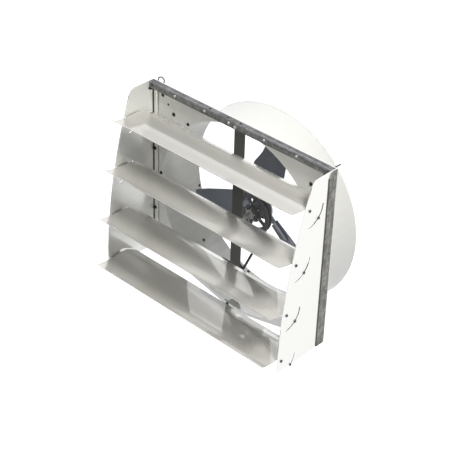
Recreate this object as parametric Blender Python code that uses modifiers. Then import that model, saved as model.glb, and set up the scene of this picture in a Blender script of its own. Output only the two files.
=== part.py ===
"""Hanging propeller fan in a round drum, belt driven, with four air-directing louvres on its front.

Metres, +Z up. X runs across the fan, -Y is the louvred front and +Y the open rear of the drum.
The origin lies halfway between the two hanging eyes.
"""
import math

import bmesh
import bpy
from mathutils import Matrix, Vector

# Fits and mesh fineness
CLEARANCE = 0.0003
OVERRUN = 0.004
WELD_DISTANCE = 0.00001
ROUND_SIDES = 64
SMALL_ROUND_SIDES = 24
HOLE_SIDES = 12

# Frame: a top bar and two side strips of galvanised sheet
FRAME_SIDE_MARGIN = 0.055
FRAME_TOP_MARGIN = 0.042
FRAME_FOOT_SHARE = 0.79787
STEEL_SHEET = 0.003
BAR_DEPTH = 0.0275
BAR_DROP = 0.031
STRIP_DEPTH = 0.045
STRIP_LEG = 0.032
STRIP_TOP_DROP = 0.004
STRIP_CORNER = 0.022

# Hanging eyes, on the rear of the top bar's ends
EYE_REACH = 0.022
EYE_BELOW_TOP = 0.012
EYE_INSET = 0.018
EYE_WIRE = 0.0032
EYE_RING = 0.0155
EYE_TILT_DEGREES = 45
EYE_SIDES = 20
EYE_WIRE_SIDES = 8

# Housing: a flat moulded panel and a round drum behind it
PROPELLER_DIAMETER = 0.914
TIP_CLEARANCE = 0.013
DRUM_WALL = 0.004
DRUM_DEPTH = 0.2387
DRUM_FLANGE_WIDTH = 0.016
DRUM_FLANGE_THICKNESS = 0.004
DRUM_BEAD = 0.002
PANEL_THICKNESS = 0.004
PANEL_TOP_DROP = 0.003
PANEL_RIM = 0.017
PANEL_ARC_POINTS = 9

# Side plates that carry the louvres
PLATE_THICKNESS = 0.003
PLATE_FLANGE = 0.027
PLATE_REACH = 0.2959
PLATE_BULGE_RADIUS = 2.3625
PLATE_BULGE_RISE = 0.026
PLATE_CORNER = 0.026
PLATE_CORNER_POINTS = 5
PLATE_FRONT_POINTS = 16

# Louvres: cambered blades on pivots, each held by a lock bolt in an arc slot
LOUVRE_COUNT = 4
LOUVRE_FIRST_DROP = 0.1315
LOUVRE_FOOT_RISE = 0.0553
LOUVRE_PIVOT_SETBACK = 0.0305
LOUVRE_SETBACK_LOSS = 0.0023
LOUVRE_END_GAP = 0.0084
LOUVRE_SHEET = 0.0018
LOUVRE_CHORD = 0.244
LOUVRE_SET_DEGREES = (0, -5, -2, 3)
LOUVRE_PROFILE_SHARES = (
    (-0.455, 0.146), (-0.432, 0.118), (-0.380, 0.086), (-0.300, 0.064), (-0.190, 0.048),
    (-0.080, 0.041), (0.235, 0.038), (0.345, 0.018), (0.372, 0.006), (0.480, -0.058),
    (0.574, -0.115),
)
BRACKET_SHEET = 0.0025
BRACKET_EDGE = 0.011
BRACKET_TAB = 0.030
BRACKET_TAB_SHARES = (0.036, 0.225)
SLOT_RADIUS_SHARE = 0.747
SLOT_HALF_WIDTH = 0.0037
SLOT_REST_DEGREES = -45
SLOT_END_DEGREES = (-2, -88)
SLOT_ARC_POINTS = 15
SLOT_END_POINTS = 5

# Centre strut, shaft and its bearings
STRUT_WIDTH = 0.060
STRUT_DEPTH = 0.0325
STRUT_END_MARGIN = 0.008
STRUT_FOOT_RISE = 0.045
STRUT_FOOT_SETBACK = 0.052
STRUT_FOOT_LENGTH = 0.034
STRUT_BOLT_DROP = 0.0165
CARRIER_HEIGHT = 0.170
CARRIER_THICKNESS = 0.006
SHAFT_RADIUS = 0.0125
SHAFT_FLANGE_RADIUS = 0.0255
SHAFT_FLANGE_THICKNESS = 0.006
SHAFT_COLLAR_RADIUS = 0.016
SHAFT_COLLAR_LENGTH = 0.010
SHAFT_THREAD_RADIUS = 0.010
SHAFT_THREAD_LENGTH = 0.014
SHAFT_NUT_RADIUS = 0.017
SHAFT_NUT_THICKNESS = 0.008
BEARING_OUTER_RADIUS = 0.0235
BEARING_WIDTH = 0.012

# Driven pulley
PULLEY_SETBACK = 0.104
PULLEY_RADIUS = 0.0998
PULLEY_RIM_DEPTH = 0.0218
PULLEY_RIM_WIDTH = 0.024
PULLEY_WEB_THICKNESS = 0.009
PULLEY_SPOKES = 5
PULLEY_SPOKE_WIDTH = 0.013
PULLEY_FIRST_SPOKE_DEGREES = 42
PULLEY_BOSS_RADIUS = 0.045
PULLEY_WINDOW_MARGIN = 0.003
PULLEY_WINDOW_POINTS = 6
HUB_RADIUS = 0.034
HUB_FRONT = 0.078
HUB_BACK = 0.1597
HUB_SHOULDER_RADIUS = 0.019
HUB_FLANGE_RADIUS = 0.052
HUB_FLANGE_THICKNESS = 0.006

# Belt and motor pulley
GROOVE_DEPTH = 0.0118
GROOVE_TOP_HALF = 0.0085
GROOVE_FLOOR_HALF = 0.0040
BELT_SINK = 0.0023
BELT_HEIGHT = 0.0080
BELT_SIDE_GAP = 0.0004
BELT_ARC_STEP_DEGREES = 9
MOTOR_PULLEY_RADIUS = 0.0355
MOTOR_PULLEY_BORE_GAP = 0.0003
MOTOR_OFFSET_ACROSS = 0.090
MOTOR_RIM_GAP = 0.049

# Motor and its bracket
MOTOR_RADIUS = 0.051
MOTOR_FIN_DEPTH = 0.005
MOTOR_FINS = 24
MOTOR_BODY_LENGTH = 0.070
MOTOR_CAP_LENGTH = 0.020
MOTOR_CAP_STEP = 0.006
MOTOR_BACK_GAP = 0.012
MOTOR_SHAFT_RADIUS = 0.0095
MOTOR_FOOT_WIDTH = 0.070
MOTOR_FOOT_LENGTH = 0.022
MOTOR_FOOT_HEIGHT = 0.012
MOTOR_FOOT_SPACING = 0.044
BOX_WIDTH = 0.026
BOX_LENGTH = 0.060
BOX_HEIGHT = 0.052
GLAND_RADIUS = 0.009
GLAND_LENGTH = 0.016
GLAND_BORE_RADIUS = 0.004
SHELF_THICKNESS = 0.004
SHELF_LEG_HEIGHT = 0.040
SHELF_MARGIN = 0.010

# Propeller
BLADE_COUNT = 3
BLADE_FIRST_DEGREES = 7.5
BLADE_CHORD = 0.144
BLADE_OUTLINE_SHARES = (
    (0.19, 0.31, 0.47), (0.32, 0.43, 0.49), (0.44, 0.53, 0.49), (0.50, 0.52, 0.49), (0.56, 0.43, 0.49),
    (0.63, 0.34, 0.49), (0.70, 0.29, 0.485), (0.80, 0.26, 0.48), (0.89, 0.19, 0.46), (0.95, 0.09, 0.44),
    (1.00, -0.08, 0.42),
)
BLADE_SHEET = 0.003
BLADE_CAMBER = 0.009
BLADE_PITCH_DEGREES = (26, 18)
BLADE_SETBACK = 0.167
BLADE_COLUMNS = 6
SPIDER_RADIUS = 0.058
SPIDER_SHEET = 0.008
SPIDER_BORE_RADIUS = 0.020
ARM_RADIUS = 0.186
ARM_HALF_WIDTH = 0.020
ARM_SHEET = 0.007
ARM_START_RADIUS = 0.034
ARM_TWIST_RADII = (0.056, 0.094)
ARM_ROWS = 14
ARM_COLUMNS = 3

# Fasteners: shank radius, head across its corners as a share, head height as a share
BOLT_SHANK = 0.0030
HEAVY_SHANK = 0.0036
HEAD_RADIUS_SHARE = 2.15
HEAD_HEIGHT_SHARE = 1.35
NUT_HEIGHT_SHARE = 1.5
SHANK_PROUD_SHARE = 0.8

# Places that follow from the sizes
PANEL_BACK = -EYE_REACH
PANEL_FRONT = PANEL_BACK - PANEL_THICKNESS
LEG_BACK = PANEL_FRONT - CLEARANCE
LEG_FRONT = LEG_BACK - STEEL_SHEET
SEAT_BACK = LEG_FRONT - CLEARANCE
BAR_FRONT = SEAT_BACK - BAR_DEPTH
TOP = EYE_BELOW_TOP
ORIFICE_RADIUS = PROPELLER_DIAMETER / 2 + TIP_CLEARANCE
AXIS_BELOW_TOP = ORIFICE_RADIUS + FRAME_TOP_MARGIN
FRAME_HEIGHT = AXIS_BELOW_TOP + ORIFICE_RADIUS * FRAME_FOOT_SHARE
BAR_BOTTOM = TOP - BAR_DROP
AXIS_Z = TOP - AXIS_BELOW_TOP
FRAME_BOTTOM = TOP - FRAME_HEIGHT
STRIP_OUT = ORIFICE_RADIUS + FRAME_SIDE_MARGIN
PLATE_OUT = STRIP_OUT - STEEL_SHEET - CLEARANCE
PLATE_IN = PLATE_OUT - PLATE_THICKNESS
LOUVRE_END = PLATE_IN - LOUVRE_END_GAP
PLATE_BULGE_DROP = FRAME_HEIGHT - PLATE_BULGE_RISE
LOUVRE_PITCH = (FRAME_HEIGHT - LOUVRE_FIRST_DROP - LOUVRE_FOOT_RISE) / (LOUVRE_COUNT - 1)
DRUM_OUT = ORIFICE_RADIUS + DRUM_WALL
DRUM_FLANGE_RADIUS = ORIFICE_RADIUS + DRUM_FLANGE_WIDTH
STRUT_BACK = LEG_BACK + STRUT_DEPTH
CARRIER_FRONT = LEG_BACK + CLEARANCE
CARRIER_BACK = CARRIER_FRONT + CARRIER_THICKNESS
BORE_RADIUS = BEARING_OUTER_RADIUS + CLEARANCE
GROOVE_SLOPE = (GROOVE_TOP_HALF - GROOVE_FLOOR_HALF) / GROOVE_DEPTH
BELT_TOP_RADIUS = PULLEY_RADIUS - BELT_SINK
BELT_SMALL_TOP_RADIUS = MOTOR_PULLEY_RADIUS - BELT_SINK
MOTOR_X = -MOTOR_OFFSET_ACROSS
MOTOR_REACH = ORIFICE_RADIUS - MOTOR_RADIUS - MOTOR_RIM_GAP
MOTOR_OFFSET_DOWN = math.sqrt(MOTOR_REACH ** 2 - MOTOR_OFFSET_ACROSS ** 2)
MOTOR_Z = AXIS_Z - MOTOR_OFFSET_DOWN
MOTOR_BACK = PANEL_BACK + PULLEY_SETBACK - PULLEY_RIM_WIDTH / 2 - MOTOR_BACK_GAP
MOTOR_BODY_BACK = MOTOR_BACK - MOTOR_CAP_LENGTH - CLEARANCE
MOTOR_BODY_FRONT = MOTOR_BODY_BACK - MOTOR_BODY_LENGTH
FOOT_TOP = MOTOR_Z + MOTOR_RADIUS + MOTOR_FOOT_HEIGHT
SHELF_BOTTOM = FOOT_TOP + CLEARANCE

# Finishes: colour, roughness, metallic
WHITE_PLASTIC = ((0.86, 0.86, 0.83), 0.35, 0.0)
WHITE_PAINT = ((0.80, 0.79, 0.75), 0.45, 0.0)
GALVANISED = ((0.27, 0.27, 0.25), 0.50, 0.8)
DARK_STEEL = ((0.07, 0.07, 0.065), 0.55, 0.7)
BLADE_METAL = ((0.085, 0.095, 0.125), 0.42, 0.7)
ARM_METAL = ((0.20, 0.22, 0.26), 0.40, 0.8)
CAST_METAL = ((0.12, 0.12, 0.13), 0.50, 0.7)
BRIGHT_STEEL = ((0.52, 0.52, 0.50), 0.30, 1.0)
BLACK_BOLT = ((0.025, 0.025, 0.028), 0.45, 0.6)
BELT_RUBBER = ((0.018, 0.018, 0.020), 0.75, 0.0)
MOTOR_PAINT = ((0.16, 0.18, 0.21), 0.40, 0.3)

TO_Y = (-math.pi / 2, 0, 0)
PLANE_XZ = (math.pi / 2, 0, 0)
PLANE_YZ = (math.pi / 2, 0, math.pi / 2)
PLANE_XY = (0, 0, 0)

for old in list(bpy.data.objects):
    bpy.data.objects.remove(old, do_unlink=True)

PARTS = bpy.data.collections.new("hanging_louvred_fan")
CUTTERS = bpy.data.collections.new("cutters")
bpy.context.scene.collection.children.link(PARTS)
bpy.context.scene.collection.children.link(CUTTERS)


# Builders shared by all pieces

def polar(radius, degrees, centre=(0, 0)):
    """Point at an angle, counted from the first axis towards the second."""
    angle = math.radians(degrees)
    return (centre[0] + radius * math.cos(angle), centre[1] + radius * math.sin(angle))


def arc(radius, start, end, count, centre=(0, 0)):
    """Points along an arc, both ends included."""
    step = (end - start) / (count - 1)
    return [polar(radius, start + step * index, centre) for index in range(count)]


def circle(radius, centre=(0, 0), sides=HOLE_SIDES):
    """Closed ring of points, whose flats clear the radius."""
    wide = radius / math.cos(math.pi / sides)
    return [polar(wide, 360 * index / sides, centre) for index in range(sides)]


def empty(name, location, rotation=(0, 0, 0)):
    """Empty that carries the pieces of one moving body on its axis."""
    made = bpy.data.objects.new(name, None)
    made.location = location
    made.rotation_euler = rotation
    PARTS.objects.link(made)
    return made


def place(name, mesh, location=(0, 0, 0), rotation=(0, 0, 0), parent=None):
    """New object in the part's collection."""
    made = bpy.data.objects.new(name, mesh)
    made.location = location
    made.rotation_euler = rotation
    made.parent = parent
    PARTS.objects.link(made)
    return made


def dress(piece, finish):
    """Gives a piece its own material."""
    colour, roughness, metallic = finish
    material = bpy.data.materials.new(piece.name + "_finish")
    material.use_nodes = True
    shader = material.node_tree.nodes["Principled BSDF"]
    shader.inputs["Base Color"].default_value = (*colour, 1)
    shader.inputs["Roughness"].default_value = roughness
    shader.inputs["Metallic"].default_value = metallic
    piece.data.materials.clear()
    piece.data.materials.append(material)
    return piece


def combine(piece, other, operation):
    """Joins another shape to a piece or cuts it out, and hides that shape."""
    other.hide_render = True
    other.display_type = "WIRE"
    if other.name in PARTS.objects:
        PARTS.objects.unlink(other)
        CUTTERS.objects.link(other)
    step = piece.modifiers.new(operation.lower(), "BOOLEAN")
    step.operation = operation
    step.object = other
    return piece


def join(piece, *others):
    """Unites shapes that overlap the piece."""
    for other in others:
        combine(piece, other, "UNION")
    return piece


def cut(piece, *others):
    """Cuts shapes out of the piece."""
    for other in others:
        combine(piece, other, "DIFFERENCE")
    return piece


def finish_mesh(bm, name):
    """Turns a bmesh into a mesh with its faces outward."""
    bmesh.ops.recalc_face_normals(bm, faces=bm.faces)
    mesh = bpy.data.meshes.new(name)
    bm.to_mesh(mesh)
    bm.free()
    return mesh


def box(name, low, high, parent=None):
    """Box between two corners, with its origin in its middle."""
    size = [high[axis] - low[axis] for axis in range(3)]
    middle = [(high[axis] + low[axis]) / 2 for axis in range(3)]
    bm = bmesh.new()
    bmesh.ops.create_cube(bm, size=1)
    bmesh.ops.scale(bm, vec=size, verts=bm.verts)
    return place(name, finish_mesh(bm, name), middle, parent=parent)


def flat(name, outline, thickness, middle, plane, holes=(), parent=None):
    """Flat sheet piece: an outline with holes, drawn as a 2D curve and given its thickness."""
    curve = bpy.data.curves.new(name, "CURVE")
    curve.dimensions = "2D"
    curve.fill_mode = "BOTH"
    curve.extrude = thickness / 2
    for loop in (outline, *holes):
        spline = curve.splines.new("POLY")
        spline.points.add(len(loop) - 1)
        for point, (across, up) in zip(spline.points, loop):
            point.co = (across, up, 0, 1)
        spline.use_cyclic_u = True
    drawn = bpy.data.objects.new(name, curve)
    PARTS.objects.link(drawn)
    bpy.context.view_layer.update()
    graph = bpy.context.evaluated_depsgraph_get()
    raw = bpy.data.meshes.new_from_object(drawn.evaluated_get(graph))
    bpy.data.objects.remove(drawn, do_unlink=True)
    bpy.data.curves.remove(curve)
    bm = bmesh.new()
    bm.from_mesh(raw)
    bpy.data.meshes.remove(raw)
    bmesh.ops.remove_doubles(bm, verts=bm.verts, dist=WELD_DISTANCE)
    return place(name, finish_mesh(bm, name), middle, plane, parent)


def turned(name, profile, location, sides=ROUND_SIDES, closed=True, rotation=TO_Y, parent=None):
    """Turned piece: points (radius, along) that run down the outer side, spun about the axis."""
    mesh = bpy.data.meshes.new(name)
    points = [(radius, 0, along) for radius, along in profile]
    edges = [(index, index + 1) for index in range(len(points) - 1)]
    if closed:
        edges.append((len(points) - 1, 0))
    mesh.from_pydata(points, edges, [])
    made = place(name, mesh, location, rotation, parent)
    spin = made.modifiers.new("spin", "SCREW")
    spin.steps = sides
    spin.render_steps = sides
    spin.use_smooth_shade = True
    spin.use_merge_vertices = True
    spin.merge_threshold = WELD_DISTANCE
    return made


def ring(name, inner, outer, low, high, location, sides=ROUND_SIDES, parent=None):
    """Plain turned ring between two radii."""
    profile = [(outer, high), (outer, low), (inner, low), (inner, high)]
    return turned(name, profile, location, sides, parent=parent)


def rods(name, rows, radius, sides, parent=None):
    """Several straight prisms in one mesh; each row is a start, an end and a factor on the radius."""
    bm = bmesh.new()
    for start, end, factor in rows:
        run = Vector(end) - Vector(start)
        turn = run.to_track_quat("Z", "Y").to_matrix().to_4x4()
        middle = Matrix.Translation((Vector(start) + Vector(end)) / 2)
        bmesh.ops.create_cone(
            bm, cap_ends=True, segments=sides, radius1=radius * factor, radius2=radius * factor,
            depth=run.length, matrix=middle @ turn)
    return place(name, finish_mesh(bm, name), parent=parent)


def bolt(name, row, shank, finish, parent=None):
    """Hexagon bolt with its nut. The row is the head's seat, the way the shank runs, and the grip."""
    seat, direction, grip = row
    way = Vector(direction).normalized()
    under = Vector(seat) - way * CLEARANCE
    near = Vector(seat) + way * (grip + CLEARANCE)
    top = under - way * shank * HEAD_HEIGHT_SHARE
    far = near + way * shank * NUT_HEIGHT_SHARE
    tip = far + way * shank * SHANK_PROUD_SHARE
    made = rods(name, [(top, under, HEAD_RADIUS_SHARE)], shank, 6, parent)
    join(made, rods(name + "_nut", [(near, far, HEAD_RADIUS_SHARE)], shank, 6, parent))
    join(made, rods(name + "_shank", [((top + under) / 2, tip, 1)], shank, 8, parent))
    return dress(made, finish)


def bolt_holes(name, rows, shank, parent=None):
    """Cutter with a clearance hole for each bolt of a group."""
    through = []
    for seat, direction, grip in rows:
        way = Vector(direction).normalized()
        start = Vector(seat) - way * OVERRUN
        through.append((start, Vector(seat) + way * (grip + OVERRUN), 1))
    return rods(name, through, (shank + CLEARANCE) / math.cos(math.pi / HOLE_SIDES), HOLE_SIDES, parent)


# Where the heavy bolts go: seat under the head, direction of the shank, grip

ALONG_Y = (0, 1, 0)
STRUT_TOP_ROW = ((0, BAR_FRONT, TOP - STRUT_BOLT_DROP), ALONG_Y, PANEL_BACK - BAR_FRONT)
FOOT_LOW = AXIS_Z - math.sqrt((ORIFICE_RADIUS - CLEARANCE) ** 2 - (STRUT_WIDTH / 2) ** 2)
FOOT_TOP_FACE = FOOT_LOW + STEEL_SHEET
FOOT_NEAR = PANEL_BACK + STRUT_FOOT_SETBACK
STRUT_FOOT_ROW = (
    (0, FOOT_NEAR + STRUT_FOOT_LENGTH / 2, FOOT_TOP_FACE), (0, 0, -1), FOOT_TOP_FACE - AXIS_Z + DRUM_OUT)
EYE_X = PLATE_IN - EYE_INSET
EYE_ROWS = [((side * EYE_X, BAR_FRONT, 0), ALONG_Y, PANEL_BACK - BAR_FRONT) for side in (-1, 1)]
SHELF_LEG_X = -STRUT_WIDTH / 2 - CLEARANCE
SHELF_LEG_OUT = SHELF_LEG_X - SHELF_THICKNESS
FOOT_MIDDLE = (MOTOR_BODY_BACK + MOTOR_BODY_FRONT) / 2


# Frame

def frame_top_bar():
    """Channel that opens downward, across the top of the frame."""
    inner_front = BAR_FRONT + STEEL_SHEET
    inner_back = SEAT_BACK - STEEL_SHEET
    ceiling = TOP - STEEL_SHEET
    section = [
        (SEAT_BACK, TOP), (BAR_FRONT, TOP), (BAR_FRONT, BAR_BOTTOM), (inner_front, BAR_BOTTOM),
        (inner_front, ceiling), (inner_back, ceiling), (inner_back, BAR_BOTTOM), (SEAT_BACK, BAR_BOTTOM)]
    bar = flat("frame_top_bar", section, 2 * (PLATE_IN - CLEARANCE), (0, 0, 0), PLANE_YZ)
    cut(bar, STRUT_HOLES, EYE_HOLES)
    dress(bar, GALVANISED)


def frame_side_strip(side, name):
    """Angle strip: one leg along the side, one behind the plate's flange. Its top corner is rounded."""
    front = LEG_BACK - STRIP_DEPTH
    top = TOP - STRIP_TOP_DROP
    inner = STRIP_OUT - STEEL_SHEET
    edge = STRIP_OUT - STRIP_LEG
    section = [
        (side * STRIP_OUT, LEG_BACK), (side * STRIP_OUT, front), (side * inner, front),
        (side * inner, LEG_FRONT), (side * edge, LEG_FRONT), (side * edge, LEG_BACK)]
    strip = flat(name, section, top - FRAME_BOTTOM, (0, 0, (top + FRAME_BOTTOM) / 2), PLANE_XY)
    corner = arc(STRIP_CORNER, 90, 180, 6, (front + STRIP_CORNER, top - STRIP_CORNER))
    spare = [
        *corner, (front - OVERRUN, top - STRIP_CORNER), (front - OVERRUN, top + OVERRUN),
        (front + STRIP_CORNER, top + OVERRUN)]
    middle_x = side * (STRIP_OUT - STEEL_SHEET / 2)
    cut(strip, flat(name + "_corner", spare, STEEL_SHEET + 2 * OVERRUN, (middle_x, 0, 0), PLANE_YZ))
    cut(strip, EYE_HOLES)
    dress(strip, GALVANISED)


def hanging_eye(side, name):
    """Eye bolt through the bar's end: its ring stands behind the frame, tilted about the shank."""
    bpy.ops.mesh.primitive_torus_add(
        major_radius=EYE_RING, minor_radius=EYE_WIRE, major_segments=EYE_SIDES,
        minor_segments=EYE_WIRE_SIDES)
    eye = bpy.context.object
    eye.name = name
    for collection in list(eye.users_collection):
        collection.objects.unlink(eye)
    PARTS.objects.link(eye)
    eye.location = (side * EYE_X, 0, 0)
    eye.rotation_euler = (0, -side * math.radians(EYE_TILT_DEGREES), 0)
    nut_front = BAR_FRONT - CLEARANCE
    nut = HEAVY_SHANK * NUT_HEIGHT_SHARE
    start = (side * EYE_X, nut_front - nut - HEAVY_SHANK, 0)
    end = (side * EYE_X, -EYE_RING + EYE_WIRE / 2, 0)
    join(eye, rods(name + "_shank", [(start, end, 1)], HEAVY_SHANK, 8))
    nut_ends = [((side * EYE_X, nut_front - nut, 0), (side * EYE_X, nut_front, 0), HEAD_RADIUS_SHARE)]
    join(eye, rods(name + "_nut", nut_ends, HEAVY_SHANK, 6))
    dress(eye, BRIGHT_STEEL)


# Housing

def housing_panel():
    """Flat panel with the round orifice; below the frame its edge runs on to an arc round the drum."""
    rim = ORIFICE_RADIUS + PANEL_RIM
    down = AXIS_Z - FRAME_BOTTOM
    spread = math.degrees(math.acos(rim / math.hypot(STRIP_OUT, down)))
    low = -math.degrees(math.atan2(down, STRIP_OUT)) - spread
    top = TOP - PANEL_TOP_DROP
    outline = [(-STRIP_OUT, FRAME_BOTTOM), (-STRIP_OUT, top), (STRIP_OUT, top), (STRIP_OUT, FRAME_BOTTOM)]
    outline += arc(rim, low, -180 - low, PANEL_ARC_POINTS, (0, AXIS_Z))
    orifice = circle(ORIFICE_RADIUS, (0, AXIS_Z), ROUND_SIDES)
    middle = (0, (PANEL_FRONT + PANEL_BACK) / 2, 0)
    panel = flat("housing_panel", outline, PANEL_THICKNESS, middle, PLANE_XZ, [orifice])
    cut(panel, STRUT_HOLES, EYE_HOLES)
    dress(panel, WHITE_PLASTIC)


def fan_drum():
    """Round drum behind the panel, with a bolting flange in front and a rolled rear edge."""
    inner = ORIFICE_RADIUS / math.cos(math.pi / ROUND_SIDES)
    flange = DRUM_FLANGE_THICKNESS
    profile = [
        (DRUM_OUT, DRUM_DEPTH), (DRUM_OUT + DRUM_BEAD, DRUM_DEPTH - DRUM_BEAD),
        (DRUM_OUT, DRUM_DEPTH - 2 * DRUM_BEAD), (DRUM_OUT, flange), (DRUM_FLANGE_RADIUS, flange),
        (DRUM_FLANGE_RADIUS, 0), (inner, 0), (inner, DRUM_DEPTH)]
    drum = turned("fan_drum", profile, (0, PANEL_BACK + CLEARANCE, AXIS_Z))
    cut(drum, STRUT_HOLES)
    dress(drum, WHITE_PLASTIC)


# Side plates and louvres

def plate_front(drop):
    """Where the bulged front edge of a side plate lies at a drop below the top."""
    return SEAT_BACK - PLATE_REACH + (drop - PLATE_BULGE_DROP) ** 2 / (2 * PLATE_BULGE_RADIUS)


def pivot(number):
    """Pivot of a louvre, counted from 0 at the top: its place along Y and Z."""
    drop = LOUVRE_FIRST_DROP + number * LOUVRE_PITCH
    setback = LOUVRE_PIVOT_SETBACK - number * LOUVRE_SETBACK_LOSS
    return (plate_front(drop) + setback, TOP - drop)


SLOT_RADIUS = SLOT_RADIUS_SHARE * (LEG_BACK - STRIP_DEPTH - pivot(0)[0])


def slot_outline(number):
    """Arc slot round a pivot, with round ends. One near the plate's lower edge runs out of it."""
    centre = pivot(number)
    high, low = SLOT_END_DEGREES
    rise = centre[1] - FRAME_BOTTOM
    if rise < SLOT_RADIUS:
        edge = math.degrees(math.asin(rise / SLOT_RADIUS))
        low = -edge - math.degrees(2 * SLOT_HALF_WIDTH / SLOT_RADIUS)
    outer = arc(SLOT_RADIUS + SLOT_HALF_WIDTH, low, high, SLOT_ARC_POINTS, centre)
    inner = arc(SLOT_RADIUS - SLOT_HALF_WIDTH, high, low, SLOT_ARC_POINTS, centre)
    round_top = arc(SLOT_HALF_WIDTH, high, high + 180, SLOT_END_POINTS, polar(SLOT_RADIUS, high, centre))
    round_low = arc(SLOT_HALF_WIDTH, low + 180, low + 360, SLOT_END_POINTS, polar(SLOT_RADIUS, low, centre))
    return outer + round_top[1:-1] + inner + round_low[1:-1]


def side_plate(side, name):
    """Sheet plate with a bulged front, four pivot holes, four arc slots and an inward rear flange."""
    corner_drop = PLATE_CORNER
    corner = (plate_front(0), TOP)
    start = (corner[0] + PLATE_CORNER, TOP)
    end = (plate_front(corner_drop), TOP - corner_drop)
    outline = [(SEAT_BACK, FRAME_BOTTOM), (SEAT_BACK, TOP)]
    for index in range(PLATE_CORNER_POINTS):
        share = index / PLATE_CORNER_POINTS
        outline.append(tuple(
            start[axis] * (1 - share) ** 2 + 2 * corner[axis] * share * (1 - share) + end[axis] * share ** 2
            for axis in range(2)))
    for index in range(PLATE_FRONT_POINTS):
        drop = corner_drop + (FRAME_HEIGHT - corner_drop) * index / (PLATE_FRONT_POINTS - 1)
        outline.append((plate_front(drop), TOP - drop))
    holes = [circle(BOLT_SHANK + CLEARANCE, pivot(number)) for number in range(LOUVRE_COUNT)]
    middle_x = side * (PLATE_OUT + PLATE_IN) / 2
    plate = flat(name, outline, PLATE_THICKNESS, (middle_x, 0, 0), PLANE_YZ, holes)
    for number in range(LOUVRE_COUNT):
        cutter = flat(
            f"{name}_slot_{number + 1}", slot_outline(number), PLATE_THICKNESS + 2 * OVERRUN,
            (middle_x, 0, 0), PLANE_YZ)
        cut(plate, cutter)
    flange_in = PLATE_IN - PLATE_FLANGE
    flange = box(
        name + "_flange",
        (min(side * PLATE_OUT, side * flange_in), SEAT_BACK - PLATE_THICKNESS, FRAME_BOTTOM),
        (max(side * PLATE_OUT, side * flange_in), SEAT_BACK, BAR_BOTTOM - CLEARANCE))
    join(plate, flange)
    dress(plate, WHITE_PAINT)


def louvre_section():
    """Section of a louvre blade about its pivot: the upper line, then the lower one back."""
    upper = [(across * LOUVRE_CHORD, up * LOUVRE_CHORD) for across, up in LOUVRE_PROFILE_SHARES]
    lower = []
    for index, point in enumerate(upper):
        before = upper[max(index - 1, 0)]
        after = upper[min(index + 1, len(upper) - 1)]
        run = Vector((after[0] - before[0], after[1] - before[1])).normalized()
        lower.append((point[0] + run.y * LOUVRE_SHEET, point[1] - run.x * LOUVRE_SHEET))
    return upper + lower[::-1]


def louvre(number):
    """One louvre: blade, two end brackets, pivot bolts and lock bolts, all on its pivot."""
    place_y, place_z = pivot(number)
    name = f"louvre_{number + 1}"
    setting = LOUVRE_SET_DEGREES[number]
    axle = empty(name + "_pivot", (0, place_y, place_z), (math.radians(setting), 0, 0))
    blade = flat(name, louvre_section(), 2 * LOUVRE_END, (0, 0, 0), PLANE_YZ, parent=axle)
    dress(blade, WHITE_PAINT)
    under = LOUVRE_PROFILE_SHARES[6][1] * LOUVRE_CHORD - LOUVRE_SHEET - CLEARANCE
    pin = polar(SLOT_RADIUS, SLOT_REST_DEGREES)
    edge = BRACKET_EDGE
    ear_top = under - BRACKET_SHEET / 4
    outline = [
        (-edge, ear_top), (BRACKET_TAB_SHARES[1] * LOUVRE_CHORD, ear_top),
        *arc(edge, 30, -120, 6, pin), *arc(edge, -120, -180, 3)]
    holes = [circle(BOLT_SHANK + CLEARANCE), circle(BOLT_SHANK + CLEARANCE, pin)]
    near = LOUVRE_END + CLEARANCE
    grip = PLATE_OUT - near
    for side, hand in ((-1, "left"), (1, "right")):
        bracket = flat(
            f"{name}_bracket_{hand}", outline, BRACKET_SHEET, (side * (near + BRACKET_SHEET / 2), 0, 0),
            PLANE_YZ, holes, axle)
        tab_low, tab_high = (share * LOUVRE_CHORD for share in BRACKET_TAB_SHARES)
        reach = (side * (near + BRACKET_SHEET / 2), side * (near - BRACKET_TAB))
        tab = box(
            f"{name}_tab_{hand}", (min(reach), tab_low, under - BRACKET_SHEET), (max(reach), tab_high, under),
            axle)
        join(bracket, tab)
        dress(bracket, BRIGHT_STEEL)
        inward = (-side, 0, 0)
        for kind, place_in in (("pivot", (0, 0)), ("lock", pin)):
            row = ((side * PLATE_OUT, *place_in), inward, grip)
            bolt(f"{name}_{kind}_bolt_{hand}", row, BOLT_SHANK, BLACK_BOLT, axle)


# Strut, shaft and drive

def centre_strut():
    """Upright angle in front of the orifice. Its flange runs back at the foot to a pad on the drum."""
    half = STRUT_WIDTH / 2
    bottom = AXIS_Z - ORIFICE_RADIUS + STRUT_FOOT_RISE
    web = box("centre_strut", (-half, LEG_FRONT, bottom), (half, LEG_BACK, TOP - STRUT_END_MARGIN))
    top = AXIS_Z + math.sqrt(ORIFICE_RADIUS ** 2 - half ** 2) - STRUT_END_MARGIN
    far = FOOT_NEAR + STRUT_FOOT_LENGTH
    side = [
        (LEG_FRONT, top), (LEG_FRONT, bottom), (FOOT_NEAR, FOOT_LOW), (far, FOOT_LOW),
        (far, FOOT_TOP_FACE + STRUT_END_MARGIN), (STRUT_BACK, bottom + STRUT_END_MARGIN), (STRUT_BACK, top)]
    flange = flat("strut_flange", side, STEEL_SHEET, (STEEL_SHEET / 2 - half, 0, 0), PLANE_YZ)
    pad = box("strut_pad", (-half, FOOT_NEAR, FOOT_LOW), (half, far, FOOT_TOP_FACE))
    join(web, flange, pad)
    cut(web, STRUT_HOLES)
    dress(web, DARK_STEEL)


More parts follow.
